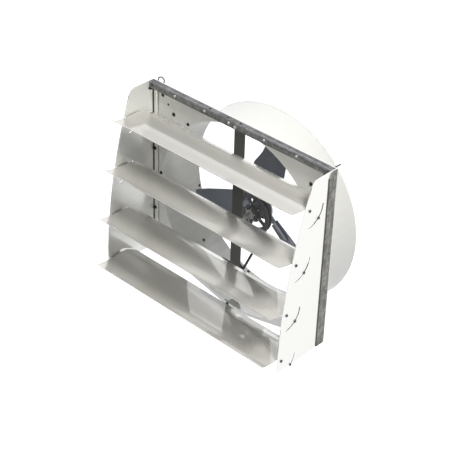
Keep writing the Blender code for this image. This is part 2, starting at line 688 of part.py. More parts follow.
def shaft_carrier():
    """Thick plate on the back of the strut's web that carries the shaft."""
    half = STRUT_WIDTH / 2
    plate = box(
        "shaft_carrier", (STEEL_SHEET + CLEARANCE - half, CARRIER_FRONT, AXIS_Z - CARRIER_HEIGHT / 2),
        (half, CARRIER_BACK, AXIS_Z + CARRIER_HEIGHT / 2))
    dress(plate, DARK_STEEL)


def fan_shaft():
    """Fixed stub shaft: flange, collar, bearing seats and a threaded end."""
    flange_back = SHAFT_FLANGE_THICKNESS
    base = CARRIER_BACK + CLEARANCE
    bearing_front = PANEL_BACK + HUB_FRONT + CLEARANCE
    collar_back = bearing_front - CLEARANCE - base
    seat_end = PANEL_BACK + HUB_BACK - BEARING_WIDTH / 2 - base
    tip = seat_end + SHAFT_THREAD_LENGTH
    profile = [
        (0, tip), (SHAFT_THREAD_RADIUS, tip), (SHAFT_THREAD_RADIUS, seat_end), (SHAFT_RADIUS, seat_end),
        (SHAFT_RADIUS, collar_back), (SHAFT_COLLAR_RADIUS, collar_back),
        (SHAFT_COLLAR_RADIUS, collar_back - SHAFT_COLLAR_LENGTH),
        (SHAFT_RADIUS, collar_back - SHAFT_COLLAR_LENGTH), (SHAFT_RADIUS, flange_back),
        (SHAFT_FLANGE_RADIUS, flange_back), (SHAFT_FLANGE_RADIUS, 0), (0, 0)]
    shaft = turned("fan_shaft", profile, (0, base, AXIS_Z), SMALL_ROUND_SIDES, closed=False)
    dress(shaft, BRIGHT_STEEL)
    nut_front = PANEL_BACK + HUB_BACK - BEARING_WIDTH / 2 + CLEARANCE
    nut_hole = circle(SHAFT_THREAD_RADIUS + CLEARANCE, sides=SMALL_ROUND_SIDES)
    nut = flat(
        "shaft_nut", circle(SHAFT_NUT_RADIUS, sides=6), SHAFT_NUT_THICKNESS,
        (0, nut_front + SHAFT_NUT_THICKNESS / 2, AXIS_Z), PLANE_XZ, [nut_hole])
    dress(nut, BRIGHT_STEEL)


def fan_bearings(axle):
    """Two ball bearings between the shaft and the pulley's hub."""
    inner = (SHAFT_RADIUS + CLEARANCE) / math.cos(math.pi / SMALL_ROUND_SIDES)
    front = HUB_FRONT + CLEARANCE
    back = HUB_BACK - BEARING_WIDTH / 2 - BEARING_WIDTH
    for name, start in (("bearing_front", front), ("bearing_rear", back)):
        bearing = ring(
            name, inner, BEARING_OUTER_RADIUS, start, start + BEARING_WIDTH, (0, 0, 0), SMALL_ROUND_SIDES,
            axle)
        dress(bearing, BRIGHT_STEEL)


def groove_profile(radius, half_width):
    """Outer side of a pulley with one belt groove, from its high edge to its low one."""
    floor = radius - GROOVE_DEPTH
    return [
        (radius, half_width), (radius, GROOVE_TOP_HALF), (floor, GROOVE_FLOOR_HALF),
        (floor, -GROOVE_FLOOR_HALF), (radius, -GROOVE_TOP_HALF), (radius, -half_width)]


def fan_pulley(axle):
    """Grooved rim, five spokes cut from a web, and a long hub with a bolting flange behind."""
    half = PULLEY_RIM_WIDTH / 2
    rim_inner = PULLEY_RADIUS - PULLEY_RIM_DEPTH
    at_rim = (0, PULLEY_SETBACK, 0)
    profile = groove_profile(PULLEY_RADIUS, half) + [(rim_inner, -half), (rim_inner, half)]
    rim = turned("fan_pulley", profile, at_rim, 48, parent=axle)
    low = PULLEY_BOSS_RADIUS
    high = rim_inner - PULLEY_WINDOW_MARGIN
    sector = 360 / PULLEY_SPOKES
    windows = []
    for index in range(PULLEY_SPOKES):
        start = PULLEY_FIRST_SPOKE_DEGREES + index * sector
        low_half = math.degrees(PULLEY_SPOKE_WIDTH / 2 / low)
        high_half = math.degrees(PULLEY_SPOKE_WIDTH / 2 / high)
        windows.append(
            arc(high, start + high_half, start + sector - high_half, PULLEY_WINDOW_POINTS)
            + arc(low, start + sector - low_half, start + low_half, PULLEY_WINDOW_POINTS))
    windows.append(circle(HUB_RADIUS - PULLEY_WINDOW_MARGIN, sides=SMALL_ROUND_SIDES))
    outer = circle(rim_inner + PULLEY_WINDOW_MARGIN, sides=48)
    web = flat("pulley_web", outer, PULLEY_WEB_THICKNESS, at_rim, PLANE_XZ, windows, axle)
    bore = BORE_RADIUS / math.cos(math.pi / SMALL_ROUND_SIDES)
    shoulder_low = HUB_FRONT + BEARING_WIDTH + 2 * CLEARANCE
    shoulder_high = HUB_BACK - BEARING_WIDTH / 2 - BEARING_WIDTH - CLEARANCE
    hub_profile = [
        (HUB_FLANGE_RADIUS, HUB_BACK), (HUB_FLANGE_RADIUS, HUB_BACK - HUB_FLANGE_THICKNESS),
        (HUB_RADIUS, HUB_BACK - HUB_FLANGE_THICKNESS), (HUB_RADIUS, HUB_FRONT), (bore, HUB_FRONT),
        (bore, shoulder_low), (HUB_SHOULDER_RADIUS, shoulder_low), (HUB_SHOULDER_RADIUS, shoulder_high),
        (bore, shoulder_high), (bore, HUB_BACK)]
    hub = turned("pulley_hub", hub_profile, (0, 0, 0), SMALL_ROUND_SIDES, parent=axle)
    join(web, hub)
    join(rim, web)
    dress(rim, CAST_METAL)


def blade_pitch(radius):
    """Pitch of the propeller blade at a radius, in radians."""
    share = radius / (PROPELLER_DIAMETER / 2)
    root, tip = BLADE_PITCH_DEGREES
    return math.radians(root + (tip - root) * min(max(share, 0), 1))


def blade_point(radius, across, clock, twist=1.0, setback=BLADE_SETBACK):
    """Point on a blade's front face: radius, distance across the chord, and clock angle of the blade."""
    pitch = blade_pitch(radius) * twist
    side = across * math.cos(pitch)
    camber = BLADE_CAMBER * twist * (1 - (2 * across / BLADE_CHORD) ** 2)
    angle = math.radians(clock)
    outward = Vector((math.sin(angle), 0, math.cos(angle)))
    clockwise = Vector((math.cos(angle), 0, -math.sin(angle)))
    return outward * radius + clockwise * side + Vector((0, setback + across * math.sin(pitch) + camber, 0))


def sheet_grid(name, rows, thickness, axle):
    """Closed sheet grown from rows of points towards +Y or -Y, with Solidify."""
    count = len(rows[0])
    bm = bmesh.new()
    grid = [[bm.verts.new(point) for point in row] for row in rows]
    for row in range(len(rows) - 1):
        for column in range(count - 1):
            bm.faces.new((
                grid[row][column], grid[row + 1][column], grid[row + 1][column + 1], grid[row][column + 1]))
    bm.normal_update()
    bm.faces.ensure_lookup_table()
    if bm.faces[0].normal.y > 0:
        bmesh.ops.reverse_faces(bm, faces=bm.faces)
    mesh = bpy.data.meshes.new(name)
    bm.to_mesh(mesh)
    bm.free()
    mesh.shade_smooth()
    sheet = place(name, mesh, parent=axle)
    shell = sheet.modifiers.new("thickness", "SOLIDIFY")
    shell.thickness = abs(thickness)
    shell.offset = -1 if thickness > 0 else 1
    return sheet


def blade_clock(number):
    """Clock angle of a blade, seen from the front, from straight up."""
    return BLADE_FIRST_DEGREES + 360 * number / BLADE_COUNT


def blade_rows(clock):
    """Rows of a blade's front face, root to tip: one edge nearly straight, the other curving in."""
    tip = PROPELLER_DIAMETER / 2
    rows = []
    for radius_share, near_share, far_share in BLADE_OUTLINE_SHARES:
        radius = tip * radius_share
        low = -near_share * BLADE_CHORD
        high = far_share * BLADE_CHORD
        line = []
        for column in range(BLADE_COLUMNS + 1):
            across = low + (high - low) * column / BLADE_COLUMNS
            line.append(blade_point(min(radius, math.sqrt(tip ** 2 - across ** 2)), across, clock))
        rows.append(line)
    return rows


def arm_rows(clock):
    """Rows of a spider arm's rear face: flat at the hub, then twisted to lie along the blade."""
    start, end = ARM_TWIST_RADII
    flat_back = HUB_BACK + CLEARANCE + (SPIDER_SHEET + ARM_SHEET) / 2
    rows = []
    for row in range(ARM_ROWS):
        radius = ARM_START_RADIUS + (ARM_RADIUS - ARM_START_RADIUS) * row / (ARM_ROWS - 1)
        share = min(max((radius - start) / (end - start), 0), 1)
        twist = share * share * (3 - 2 * share)
        setback = flat_back + (BLADE_SETBACK - 2 * CLEARANCE - flat_back) * twist
        past = max(0, radius - (ARM_RADIUS - ARM_HALF_WIDTH)) / ARM_HALF_WIDTH
        half = ARM_HALF_WIDTH * max(0.35, math.sqrt(max(0, 1 - past ** 2)))
        rows.append([
            blade_point(radius, -half + 2 * half * column / ARM_COLUMNS, clock, twist, setback)
            for column in range(ARM_COLUMNS + 1)])
    return rows


def propeller(axle):
    """Spider with three twisted arms, and three cambered blades behind the arms."""
    disc_outline = circle(SPIDER_RADIUS, sides=36)
    bore = circle(SPIDER_BORE_RADIUS, sides=SMALL_ROUND_SIDES)
    middle = (0, HUB_BACK + CLEARANCE + SPIDER_SHEET / 2, 0)
    spider = flat("propeller_spider", disc_outline, SPIDER_SHEET, middle, PLANE_XZ, [bore], axle)
    for number in range(BLADE_COUNT):
        clock = blade_clock(number)
        join(spider, sheet_grid(f"spider_arm_{number + 1}", arm_rows(clock), -ARM_SHEET, axle))
        blade = sheet_grid(f"fan_blade_{number + 1}", blade_rows(clock), BLADE_SHEET, axle)
        dress(blade, BLADE_METAL)
    dress(spider, ARM_METAL)


def drive_belt():
    """Belt of wedge section round both pulleys: two arcs and two straight runs, lofted as one loop."""
    offset = Vector((MOTOR_X, MOTOR_Z - AXIS_Z))
    span = offset.length
    line = math.degrees(math.atan2(offset.y, offset.x))
    lean = math.degrees(math.acos((BELT_TOP_RADIUS - BELT_SMALL_TOP_RADIUS) / span))
    big_sweep = 360 - 2 * lean
    big_count = round(big_sweep / BELT_ARC_STEP_DEGREES) + 1
    small_count = round(2 * lean / BELT_ARC_STEP_DEGREES) + 1
    stations = []
    for index in range(big_count):
        stations.append(((0, 0), line + lean + big_sweep * index / (big_count - 1), BELT_TOP_RADIUS))
    for index in range(small_count):
        angle = line - lean + 2 * lean * index / (small_count - 1)
        stations.append((tuple(offset), angle, BELT_SMALL_TOP_RADIUS))
    floor_half = GROOVE_TOP_HALF - GROOVE_SLOPE * (BELT_SINK + BELT_HEIGHT) - BELT_SIDE_GAP
    top_half = GROOVE_TOP_HALF - GROOVE_SLOPE * BELT_SINK - BELT_SIDE_GAP
    bm = bmesh.new()
    loops = []
    for centre, angle, radius in stations:
        loop = []
        corners = ((0, -top_half), (0, top_half), (BELT_HEIGHT, floor_half), (BELT_HEIGHT, -floor_half))
        for depth, half in corners:
            across, up = polar(radius - depth, angle, centre)
            loop.append(bm.verts.new((across, half, up)))
        loops.append(loop)
    for index, loop in enumerate(loops):
        after = loops[(index + 1) % len(loops)]
        for corner in range(4):
            following = (corner + 1) % 4
            bm.faces.new((loop[corner], loop[following], after[following], after[corner]))
    belt = place("drive_belt", finish_mesh(bm, "drive_belt"), (0, PANEL_BACK + PULLEY_SETBACK, AXIS_Z))
    dress(belt, BELT_RUBBER)


def motor():
    """Motor under its shelf: finned body with feet, two end caps, terminal box and cable gland."""
    step = 360 / MOTOR_FINS
    outline = []
    for index in range(MOTOR_FINS):
        start = index * step
        outline += [
            polar(MOTOR_RADIUS, start), polar(MOTOR_RADIUS, start + step * 0.35),
            polar(MOTOR_RADIUS - MOTOR_FIN_DEPTH, start + step * 0.5),
            polar(MOTOR_RADIUS - MOTOR_FIN_DEPTH, start + step * 0.85)]
    middle = (MOTOR_X, FOOT_MIDDLE, MOTOR_Z)
    body = flat("motor_body", outline, MOTOR_BODY_LENGTH, middle, PLANE_XZ)
    for end in (-1, 1):
        foot_y = FOOT_MIDDLE + end * MOTOR_FOOT_SPACING / 2
        foot = box(
            f"motor_foot_{end}",
            (MOTOR_X - MOTOR_FOOT_WIDTH / 2, foot_y - MOTOR_FOOT_LENGTH / 2, MOTOR_Z + MOTOR_RADIUS / 2),
            (MOTOR_X + MOTOR_FOOT_WIDTH / 2, foot_y + MOTOR_FOOT_LENGTH / 2, FOOT_TOP))
        join(body, foot)
    dress(body, MOTOR_PAINT)
    cap_radius = MOTOR_RADIUS - MOTOR_FIN_DEPTH / 2
    bore = MOTOR_SHAFT_RADIUS + 2 * CLEARANCE
    rear_profile = [
        (cap_radius - MOTOR_CAP_STEP, MOTOR_CAP_LENGTH), (cap_radius, MOTOR_CAP_LENGTH - MOTOR_CAP_STEP),
        (cap_radius, 0), (bore, 0), (bore, MOTOR_CAP_LENGTH)]
    rear = turned("motor_rear_cap", rear_profile, (MOTOR_X, MOTOR_BODY_BACK + CLEARANCE, MOTOR_Z), 32)
    dress(rear, MOTOR_PAINT)
    front_profile = [
        (0, 0), (cap_radius, 0), (cap_radius, -MOTOR_CAP_LENGTH + MOTOR_CAP_STEP),
        (cap_radius - MOTOR_CAP_STEP, -MOTOR_CAP_LENGTH), (0, -MOTOR_CAP_LENGTH)]
    front = turned(
        "motor_front_cap", front_profile, (MOTOR_X, MOTOR_BODY_FRONT - CLEARANCE, MOTOR_Z), 32, closed=False)
    dress(front, MOTOR_PAINT)
    box_in = MOTOR_X - MOTOR_RADIUS - CLEARANCE
    terminal = box(
        "motor_terminal_box", (box_in - BOX_WIDTH, FOOT_MIDDLE - BOX_LENGTH / 2, MOTOR_Z - BOX_HEIGHT / 2),
        (box_in, FOOT_MIDDLE + BOX_LENGTH / 2, MOTOR_Z + BOX_HEIGHT / 2))
    dress(terminal, MOTOR_PAINT)
    gland = ring(
        "motor_cable_gland", GLAND_BORE_RADIUS, GLAND_RADIUS, 0, GLAND_LENGTH,
        (box_in - BOX_WIDTH / 2, FOOT_MIDDLE - BOX_LENGTH / 2 - GLAND_LENGTH - CLEARANCE, MOTOR_Z), 16)
    dress(gland, BLACK_BOLT)


def motor_drive(axle):
    """Motor shaft and its small grooved pulley."""
    shaft_low = MOTOR_BODY_BACK + 2 * CLEARANCE - MOTOR_BACK
    shaft_high = MOTOR_BACK_GAP + PULLEY_RIM_WIDTH + OVERRUN
    profile = [
        (0, shaft_high), (MOTOR_SHAFT_RADIUS, shaft_high), (MOTOR_SHAFT_RADIUS, shaft_low), (0, shaft_low)]
    shaft = turned("motor_shaft", profile, (0, 0, 0), SMALL_ROUND_SIDES, closed=False, parent=axle)
    dress(shaft, BRIGHT_STEEL)
    half = PULLEY_RIM_WIDTH / 2
    bore = (MOTOR_SHAFT_RADIUS + MOTOR_PULLEY_BORE_GAP) / math.cos(math.pi / SMALL_ROUND_SIDES)
    pulley = turned(
        "motor_pulley", groove_profile(MOTOR_PULLEY_RADIUS, half) + [(bore, -half), (bore, half)],
        (0, MOTOR_BACK_GAP + half, 0), SMALL_ROUND_SIDES, parent=axle)
    dress(pulley, CAST_METAL)


def motor_bracket():
    """Angle bracket on the strut's side: an upright leg, and a shelf over the motor."""
    leg_back = STRUT_BACK - SHELF_MARGIN / 2
    leg = box(
        "motor_bracket", (SHELF_LEG_OUT, LEG_BACK, SHELF_BOTTOM),
        (SHELF_LEG_X, leg_back, SHELF_BOTTOM + SHELF_LEG_HEIGHT))
    shelf = box(
        "motor_shelf",
        (MOTOR_X - MOTOR_FOOT_WIDTH / 2 - SHELF_MARGIN, MOTOR_BODY_FRONT, SHELF_BOTTOM),
        (SHELF_LEG_X, MOTOR_BODY_BACK, SHELF_BOTTOM + SHELF_THICKNESS))
    join(leg, shelf)
    dress(leg, GALVANISED)


STRUT_HOLES = bolt_holes("strut_bolt_holes", [STRUT_TOP_ROW, STRUT_FOOT_ROW], HEAVY_SHANK)
EYE_HOLES = bolt_holes("eye_holes", EYE_ROWS, HEAVY_SHANK)

frame_top_bar()
frame_side_strip(-1, "frame_side_strip_left")
frame_side_strip(1, "frame_side_strip_right")
hanging_eye(-1, "hanging_eye_left")
hanging_eye(1, "hanging_eye_right")
housing_panel()
fan_drum()
side_plate(-1, "side_plate_left")
side_plate(1, "side_plate_right")
for louvre_number in range(LOUVRE_COUNT):
    louvre(louvre_number)
centre_strut()
shaft_carrier()
fan_shaft()
FAN_AXLE = empty("fan_axle", (0, PANEL_BACK, AXIS_Z))
fan_bearings(FAN_AXLE)
fan_pulley(FAN_AXLE)
propeller(FAN_AXLE)
drive_belt()
motor()
motor_bracket()
motor_drive(empty("motor_axle", (MOTOR_X, MOTOR_BACK, MOTOR_Z)))
bolt("strut_bolt_top", STRUT_TOP_ROW, HEAVY_SHANK, BRIGHT_STEEL)
bolt("strut_bolt_foot", STRUT_FOOT_ROW, HEAVY_SHANK, BRIGHT_STEEL)
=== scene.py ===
"""Looks of a hanging drum fan with four louvres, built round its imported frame.

Metres, +Z up. X runs across the fan, -Y is the louvred front and +Y the open rear of the drum.
"""

import logging
import math
from dataclasses import dataclass, field
from enum import Enum
from typing import Sequence

import bmesh
import bpy
from mathutils import Matrix, Vector


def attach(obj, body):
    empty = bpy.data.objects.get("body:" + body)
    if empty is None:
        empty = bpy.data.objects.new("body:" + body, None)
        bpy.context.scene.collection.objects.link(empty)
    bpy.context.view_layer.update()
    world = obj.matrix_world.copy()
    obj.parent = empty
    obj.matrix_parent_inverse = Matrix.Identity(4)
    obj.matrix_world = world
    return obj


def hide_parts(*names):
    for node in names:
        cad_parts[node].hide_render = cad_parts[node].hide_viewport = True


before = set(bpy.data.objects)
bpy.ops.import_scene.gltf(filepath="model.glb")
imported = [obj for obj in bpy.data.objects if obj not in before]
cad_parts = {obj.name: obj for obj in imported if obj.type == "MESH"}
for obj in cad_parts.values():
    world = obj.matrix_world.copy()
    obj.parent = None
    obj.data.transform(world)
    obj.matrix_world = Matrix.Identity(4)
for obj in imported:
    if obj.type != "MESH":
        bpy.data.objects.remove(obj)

log = logging.getLogger("drum_fan")

Colour = tuple[float, float, float]
Place = tuple[float, float, float]
Pair = tuple[float, float]
Way = tuple[float, float, float]

FRONT: Way = (0.0, -1.0, 0.0)
REAR: Way = (0.0, 1.0, 0.0)
UP: Way = (0.0, 0.0, 1.0)
FAN_AXIS_Z = -0.5
# How far trim stands off the sheet that it lies on, so that no two faces coincide.
SEATED = 0.0001


class Head(Enum):
    """Kinds of small fastener on the fan."""

    HEX = "hexagon head on a washer"
    PAN = "round head with a cross slot"
    NUT = "nut with the screw's end standing out"
    RIVET = "low dome"


class Body(Enum):
    """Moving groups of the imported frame."""

    HOUSING = "housing"
    FAN = "fan_rotor"


def louvre_body(number: int) -> str:
    """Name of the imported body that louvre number 1 to 4 rides on."""
    return f"louvre_{number}_body"


# Finishes

# Sockets of a mix node that blends two colours.
MIX_SHARE, MIX_FIRST, MIX_SECOND, MIX_RESULT = 0, 6, 7, 2


class Graph:
    """Lays out the shader nodes of one material."""

    def __init__(self, name: str) -> None:
        """Starts a material with one shader.

        Args:
            name: Name of the material.
        """
        self.material = bpy.data.materials.new(name)
        self.material.use_nodes = True
        tree = self.material.node_tree
        self.nodes = tree.nodes
        self.links = tree.links
        self.shader = self.nodes["Principled BSDF"]
        self.place = self.nodes.new("ShaderNodeTexCoord").outputs["Object"]

    def link(self, output: bpy.types.NodeSocket, socket: str) -> None:
        """Links an output to a socket of the shader."""
        self.links.new(output, self.shader.inputs[socket])

    def stretched(self, scale: Way) -> bpy.types.NodeSocket:
        """Object coordinates stretched along the axes.

        Args:
            scale: Factor along each axis.

        Returns:
            The coordinates' output.
        """
        node = self.nodes.new("ShaderNodeMapping")
        node.inputs["Scale"].default_value = scale
        self.links.new(self.place, node.inputs["Vector"])
        return node.outputs["Vector"]

    def noise(self, scale: float, detail: float = 3.0, stretch: Way = (1, 1, 1),
              rough: float = 0.5) -> bpy.types.NodeSocket:
        """Cloudy pattern between 0 and 1.

        Args:
            scale: Clouds per metre.
            detail: Octaves of finer clouds.
            stretch: Factor on the scale along each axis.
            rough: Weight of the finer clouds.

        Returns:
            The pattern's output.
        """
        node = self.nodes.new("ShaderNodeTexNoise")
        node.inputs["Scale"].default_value = scale
        node.inputs["Detail"].default_value = detail
        node.inputs["Roughness"].default_value = rough
        self.links.new(self.stretched(stretch), node.inputs["Vector"])
        return node.outputs["Fac"]

    def cells(self, scale: float) -> bpy.types.NodeSocket:
        """Crystal pattern: one random colour in each cell.

        Args:
            scale: Cells per metre.

        Returns:
            The pattern's colour output.
        """
        node = self.nodes.new("ShaderNodeTexVoronoi")
        node.inputs["Scale"].default_value = scale
        self.links.new(self.stretched((1, 1, 1)), node.inputs["Vector"])
        return node.outputs["Color"]

    def ramp(self, value: bpy.types.NodeSocket, stops: Sequence[Pair]) -> bpy.types.NodeSocket:
        """Grey ramp over a value.

        Args:
            value: The output that drives the ramp.
            stops: Pairs of a position and a grey level.

        Returns:
            The ramp's colour output.
        """
        node = self.nodes.new("ShaderNodeValToRGB")
        elements = node.color_ramp.elements
        while len(elements) < len(stops):
            elements.new(0.5)
        for element, (position, grey) in zip(elements, stops):
            element.position = position
            element.color = (grey, grey, grey, 1)
        self.links.new(value, node.inputs["Fac"])
        return node.outputs["Color"]

    def mixed(self, share: bpy.types.NodeSocket, first: "Colour | bpy.types.NodeSocket",
              second: "Colour | bpy.types.NodeSocket") -> bpy.types.NodeSocket:
        """Blend of two colours or colour outputs.

        Args:
            share: Share of the second colour, between 0 and 1.
            first: Colour at share 0.
            second: Colour at share 1.

        Returns:
            The blend's output.
        """
        node = self.nodes.new("ShaderNodeMix")
        node.data_type = "RGBA"
        self.links.new(share, node.inputs[MIX_SHARE])
        for index, colour in ((MIX_FIRST, first), (MIX_SECOND, second)):
            if isinstance(colour, tuple):
                node.inputs[index].default_value = (*colour, 1)
            else:
                self.links.new(colour, node.inputs[index])
        return node.outputs[MIX_RESULT]

    def bump(self, height: bpy.types.NodeSocket, strength: float, distance: float,
             under: bpy.types.NodeSocket | None = None) -> bpy.types.NodeSocket:
        """Relief from a height.

        Args:
            height: The output that holds the height.
            strength: Share of the full relief.
            distance: Height of the full relief, in metres.
            under: Normal of a relief beneath this one.

        Returns:
            The normal output.
        """
        node = self.nodes.new("ShaderNodeBump")
        node.inputs["Strength"].default_value = strength
        node.inputs["Distance"].default_value = distance
        self.links.new(height, node.inputs["Height"])
        if under is not None:
            self.links.new(under, node.inputs["Normal"])
        return node.outputs["Normal"]

    def edges(self, radius: float, samples: int = 4) -> bpy.types.NodeSocket:
        """Normal that rounds off the edges.

        Args:
            radius: Radius of the rounding, in metres.
            samples: Rays that look for an edge.

        Returns:
            The normal output.
        """
        node = self.nodes.new("ShaderNodeBevel")
        node.samples = samples
        node.inputs["Radius"].default_value = radius
        return node.outputs["Normal"]


@dataclass(frozen=True)
class Finish:
    """Base of all finishes: a colour, its dirt, its gloss and its grain.

    Fields hold the clean colour, the colour of dust or wear on it, how much of that shows, the
    roughness of clean and of worn places, the metallic share, and the radius of the edges.
    """

    name: str
    colour: Colour
    worn: Colour
    wear: float
    smooth: float
    rough: float
    metallic: float = 0.0
    edge: float = 0.0008

    def material(self) -> bpy.types.Material:
        """Makes the material once.

        Returns:
            The material, new or made before.
        """
        made = bpy.data.materials.get(self.name)
        if made is not None:
            return made
        graph = Graph(self.name)
        graph.shader.inputs["Metallic"].default_value = self.metallic
        self.draw(graph)
        return graph.material

    def draw(self, graph: Graph) -> None:
        """Draws the colour, roughness and relief. Each kind of finish has its own."""
        raise NotImplementedError

    def shades(self, graph: Graph, cloud: float, speck: float) -> bpy.types.NodeSocket:
        """Clean colour with broad clouds and small specks of the worn one.

        Args:
            graph: The material's graph.
            cloud: Clouds per metre.
            speck: Specks per metre.

        Returns:
            The colour output.
        """
        broad = graph.ramp(graph.noise(cloud, detail=4), [(0.35, 0.0), (0.75, self.wear)])
        fine = graph.ramp(graph.noise(speck, detail=5, rough=0.6), [(0.58, 0.0), (0.72, self.wear)])
        under = graph.mixed(broad, self.colour, self.worn)
        return graph.mixed(fine, under, self.worn)

    def gloss(self, graph: Graph, scale: float) -> None:
        """Lets the roughness wander between its two values, in clouds of a scale."""
        span = graph.ramp(graph.noise(scale, detail=3), [(0.3, self.smooth), (0.7, self.rough)])
        graph.link(span, "Roughness")


@dataclass(frozen=True)
class PaintedSheet(Finish):
    """Powder coat on sheet metal: orange-peel skin, slight waves, faint dust."""

    peel: float = 0.10
    wave: float = 0.08

    def draw(self, graph: Graph) -> None:
        """Draws the paint.

        Args:
            graph: The material's graph.
        """
        graph.link(self.shades(graph, cloud=4.0, speck=60.0), "Base Color")
        self.gloss(graph, scale=14.0)
        waves = graph.bump(
            graph.noise(scale=5.0, detail=1), self.wave, distance=0.002, under=graph.edges(self.edge))
        skin = graph.bump(graph.noise(scale=900.0, detail=2), self.peel, distance=0.0002, under=waves)
        graph.link(skin, "Normal")


@dataclass(frozen=True)
class DustyLouvre(Finish):
    """Louvre paint: streaks along the blade, clouds of dust and coarse specks."""

    speck_wear: float = 1.5

    def draw(self, graph: Graph) -> None:
        """Draws the paint and its dust.

        Args:
            graph: The material's graph.
        """
        streaks = graph.ramp(
            graph.noise(scale=26.0, detail=5, stretch=(0.12, 1, 1), rough=0.6),
            [(0.42, 0.0), (0.80, self.wear)])
        clouds = graph.ramp(graph.noise(scale=5.0, detail=3), [(0.40, 0.0), (0.85, self.wear)])
        specks = graph.ramp(
            graph.noise(scale=130.0, detail=3, rough=0.7),
            [(0.66, 0.0), (0.74, self.wear * self.speck_wear)])
        base = graph.mixed(streaks, self.colour, self.worn)
        base = graph.mixed(clouds, base, self.worn)
        graph.link(graph.mixed(specks, base, self.worn), "Base Color")
        self.gloss(graph, scale=20.0)
        waves = graph.bump(
            graph.noise(scale=4.0, detail=1, stretch=(0.5, 1, 1)), strength=0.03, distance=0.002,
            under=graph.edges(self.edge))
        skin = graph.bump(
            graph.noise(scale=800.0, detail=2), strength=0.08, distance=0.0002, under=waves)
        graph.link(skin, "Normal")


@dataclass(frozen=True)
class MouldedPlastic(Finish):
    """Moulded plastic: soft grain, sink marks and faint flow clouds."""

    shine: float = 0.25

    def draw(self, graph: Graph) -> None:
        """Draws the plastic.

        Args:
            graph: The material's graph.
        """
        graph.shader.inputs["Specular IOR Level"].default_value = self.shine
        graph.link(self.shades(graph, cloud=3.0, speck=40.0), "Base Color")
        self.gloss(graph, scale=9.0)
        sinks = graph.bump(
            graph.noise(scale=7.0, detail=2), strength=0.08, distance=0.0015,
            under=graph.edges(self.edge))
        grain = graph.bump(
            graph.noise(scale=1400.0, detail=2), strength=0.12, distance=0.0002, under=sinks)
        graph.link(grain, "Normal")


@dataclass(frozen=True)
class Galvanised(Finish):
    """Zinc coat: crystals of unlike grey, drawn lines along the strip and white bloom."""

    crystals: float = 90.0
    drawn: Way = (1, 1, 1)
    line_scale: float = 160.0
    ridge_scale: float = 160.0
    shadow: float = 0.42

    def draw(self, graph: Graph) -> None:
        """Draws the zinc.

        Args:
            graph: The material's graph.
        """
        crystal = graph.ramp(graph.cells(self.crystals), [(0.1, 0.0), (0.9, 0.7)])
        lines = graph.ramp(
            graph.noise(self.line_scale, detail=3, stretch=self.drawn), [(0.40, 0.0), (0.58, 0.9)])
        bloom = graph.ramp(
            graph.noise(scale=34.0, detail=6, rough=0.65), [(0.46, 0.0), (0.62, self.wear)])
        dark: Colour = tuple(part * self.shadow for part in self.colour)
        base = graph.mixed(crystal, self.colour, dark)
        base = graph.mixed(lines, base, dark)
        graph.link(graph.mixed(bloom, base, self.worn), "Base Color")
        self.gloss(graph, scale=60.0)
        ridges = graph.bump(
            graph.noise(self.ridge_scale, detail=4, stretch=self.drawn), strength=0.25,
            distance=0.0004, under=graph.edges(self.edge))
        graph.link(ridges, "Normal")


@dataclass(frozen=True)
class RoughMetal(Finish):
    """Dark bare or dipped steel and castings: mottled, with scuffs and a grainy skin."""

    grain: float = 500.0
    relief: float = 0.3

    def draw(self, graph: Graph) -> None:
        """Draws the metal.

        Args:
            graph: The material's graph.
        """
        scuffs = graph.ramp(
            graph.noise(scale=70.0, detail=5, stretch=(1, 1, 0.15), rough=0.65),
            [(0.55, 0.0), (0.75, self.wear)])
        mottle = graph.ramp(graph.noise(scale=30.0, detail=4), [(0.3, 0.0), (0.8, self.wear)])
        base = graph.mixed(mottle, self.colour, self.worn)
        graph.link(graph.mixed(scuffs, base, self.worn), "Base Color")
        self.gloss(graph, scale=80.0)
        skin = graph.bump(
            graph.noise(self.grain, detail=3), self.relief, distance=0.0005,
            under=graph.edges(self.edge))
        graph.link(skin, "Normal")


@dataclass(frozen=True)
class BladeCoat(Finish):
    """Thin dark coat on the propeller's sheet: brushed under the coat, dusty on top."""

    brushed: float = 0.75

    def draw(self, graph: Graph) -> None:
        """Draws the coat.

        Args:
            graph: The material's graph.
        """
        brush = graph.ramp(
            graph.noise(scale=220.0, detail=3, stretch=(0.08, 1, 1)), [(0.3, 0.0), (0.8, 0.35)])
        dust = graph.ramp(
            graph.noise(scale=16.0, detail=6, rough=0.62), [(0.52, 0.0), (0.8, self.wear)])
        dark: Colour = tuple(part * self.brushed for part in self.colour)
        base = graph.mixed(brush, self.colour, dark)
        graph.link(graph.mixed(dust, base, self.worn), "Base Color")
        self.gloss(graph, scale=35.0)
        skin = graph.bump(
            graph.noise(scale=400.0, detail=2), strength=0.12, distance=0.0003,
            under=graph.edges(self.edge))
        graph.link(skin, "Normal")


@dataclass(frozen=True)
class BeltRubber(Finish):
    """Wrapped belt: cloth weave in black rubber, polished flanks."""

    weave: float = 260.0

    def draw(self, graph: Graph) -> None:
        """Draws the rubber.

        Args:
            graph: The material's graph.
        """
        graph.link(self.shades(graph, cloud=60.0, speck=500.0), "Base Color")
        self.gloss(graph, scale=90.0)
        wave = graph.nodes.new("ShaderNodeTexWave")
        wave.inputs["Scale"].default_value = self.weave
        graph.links.new(graph.place, wave.inputs["Vector"])
        graph.link(graph.bump(wave.outputs["Fac"], strength=0.25, distance=0.0003), "Normal")


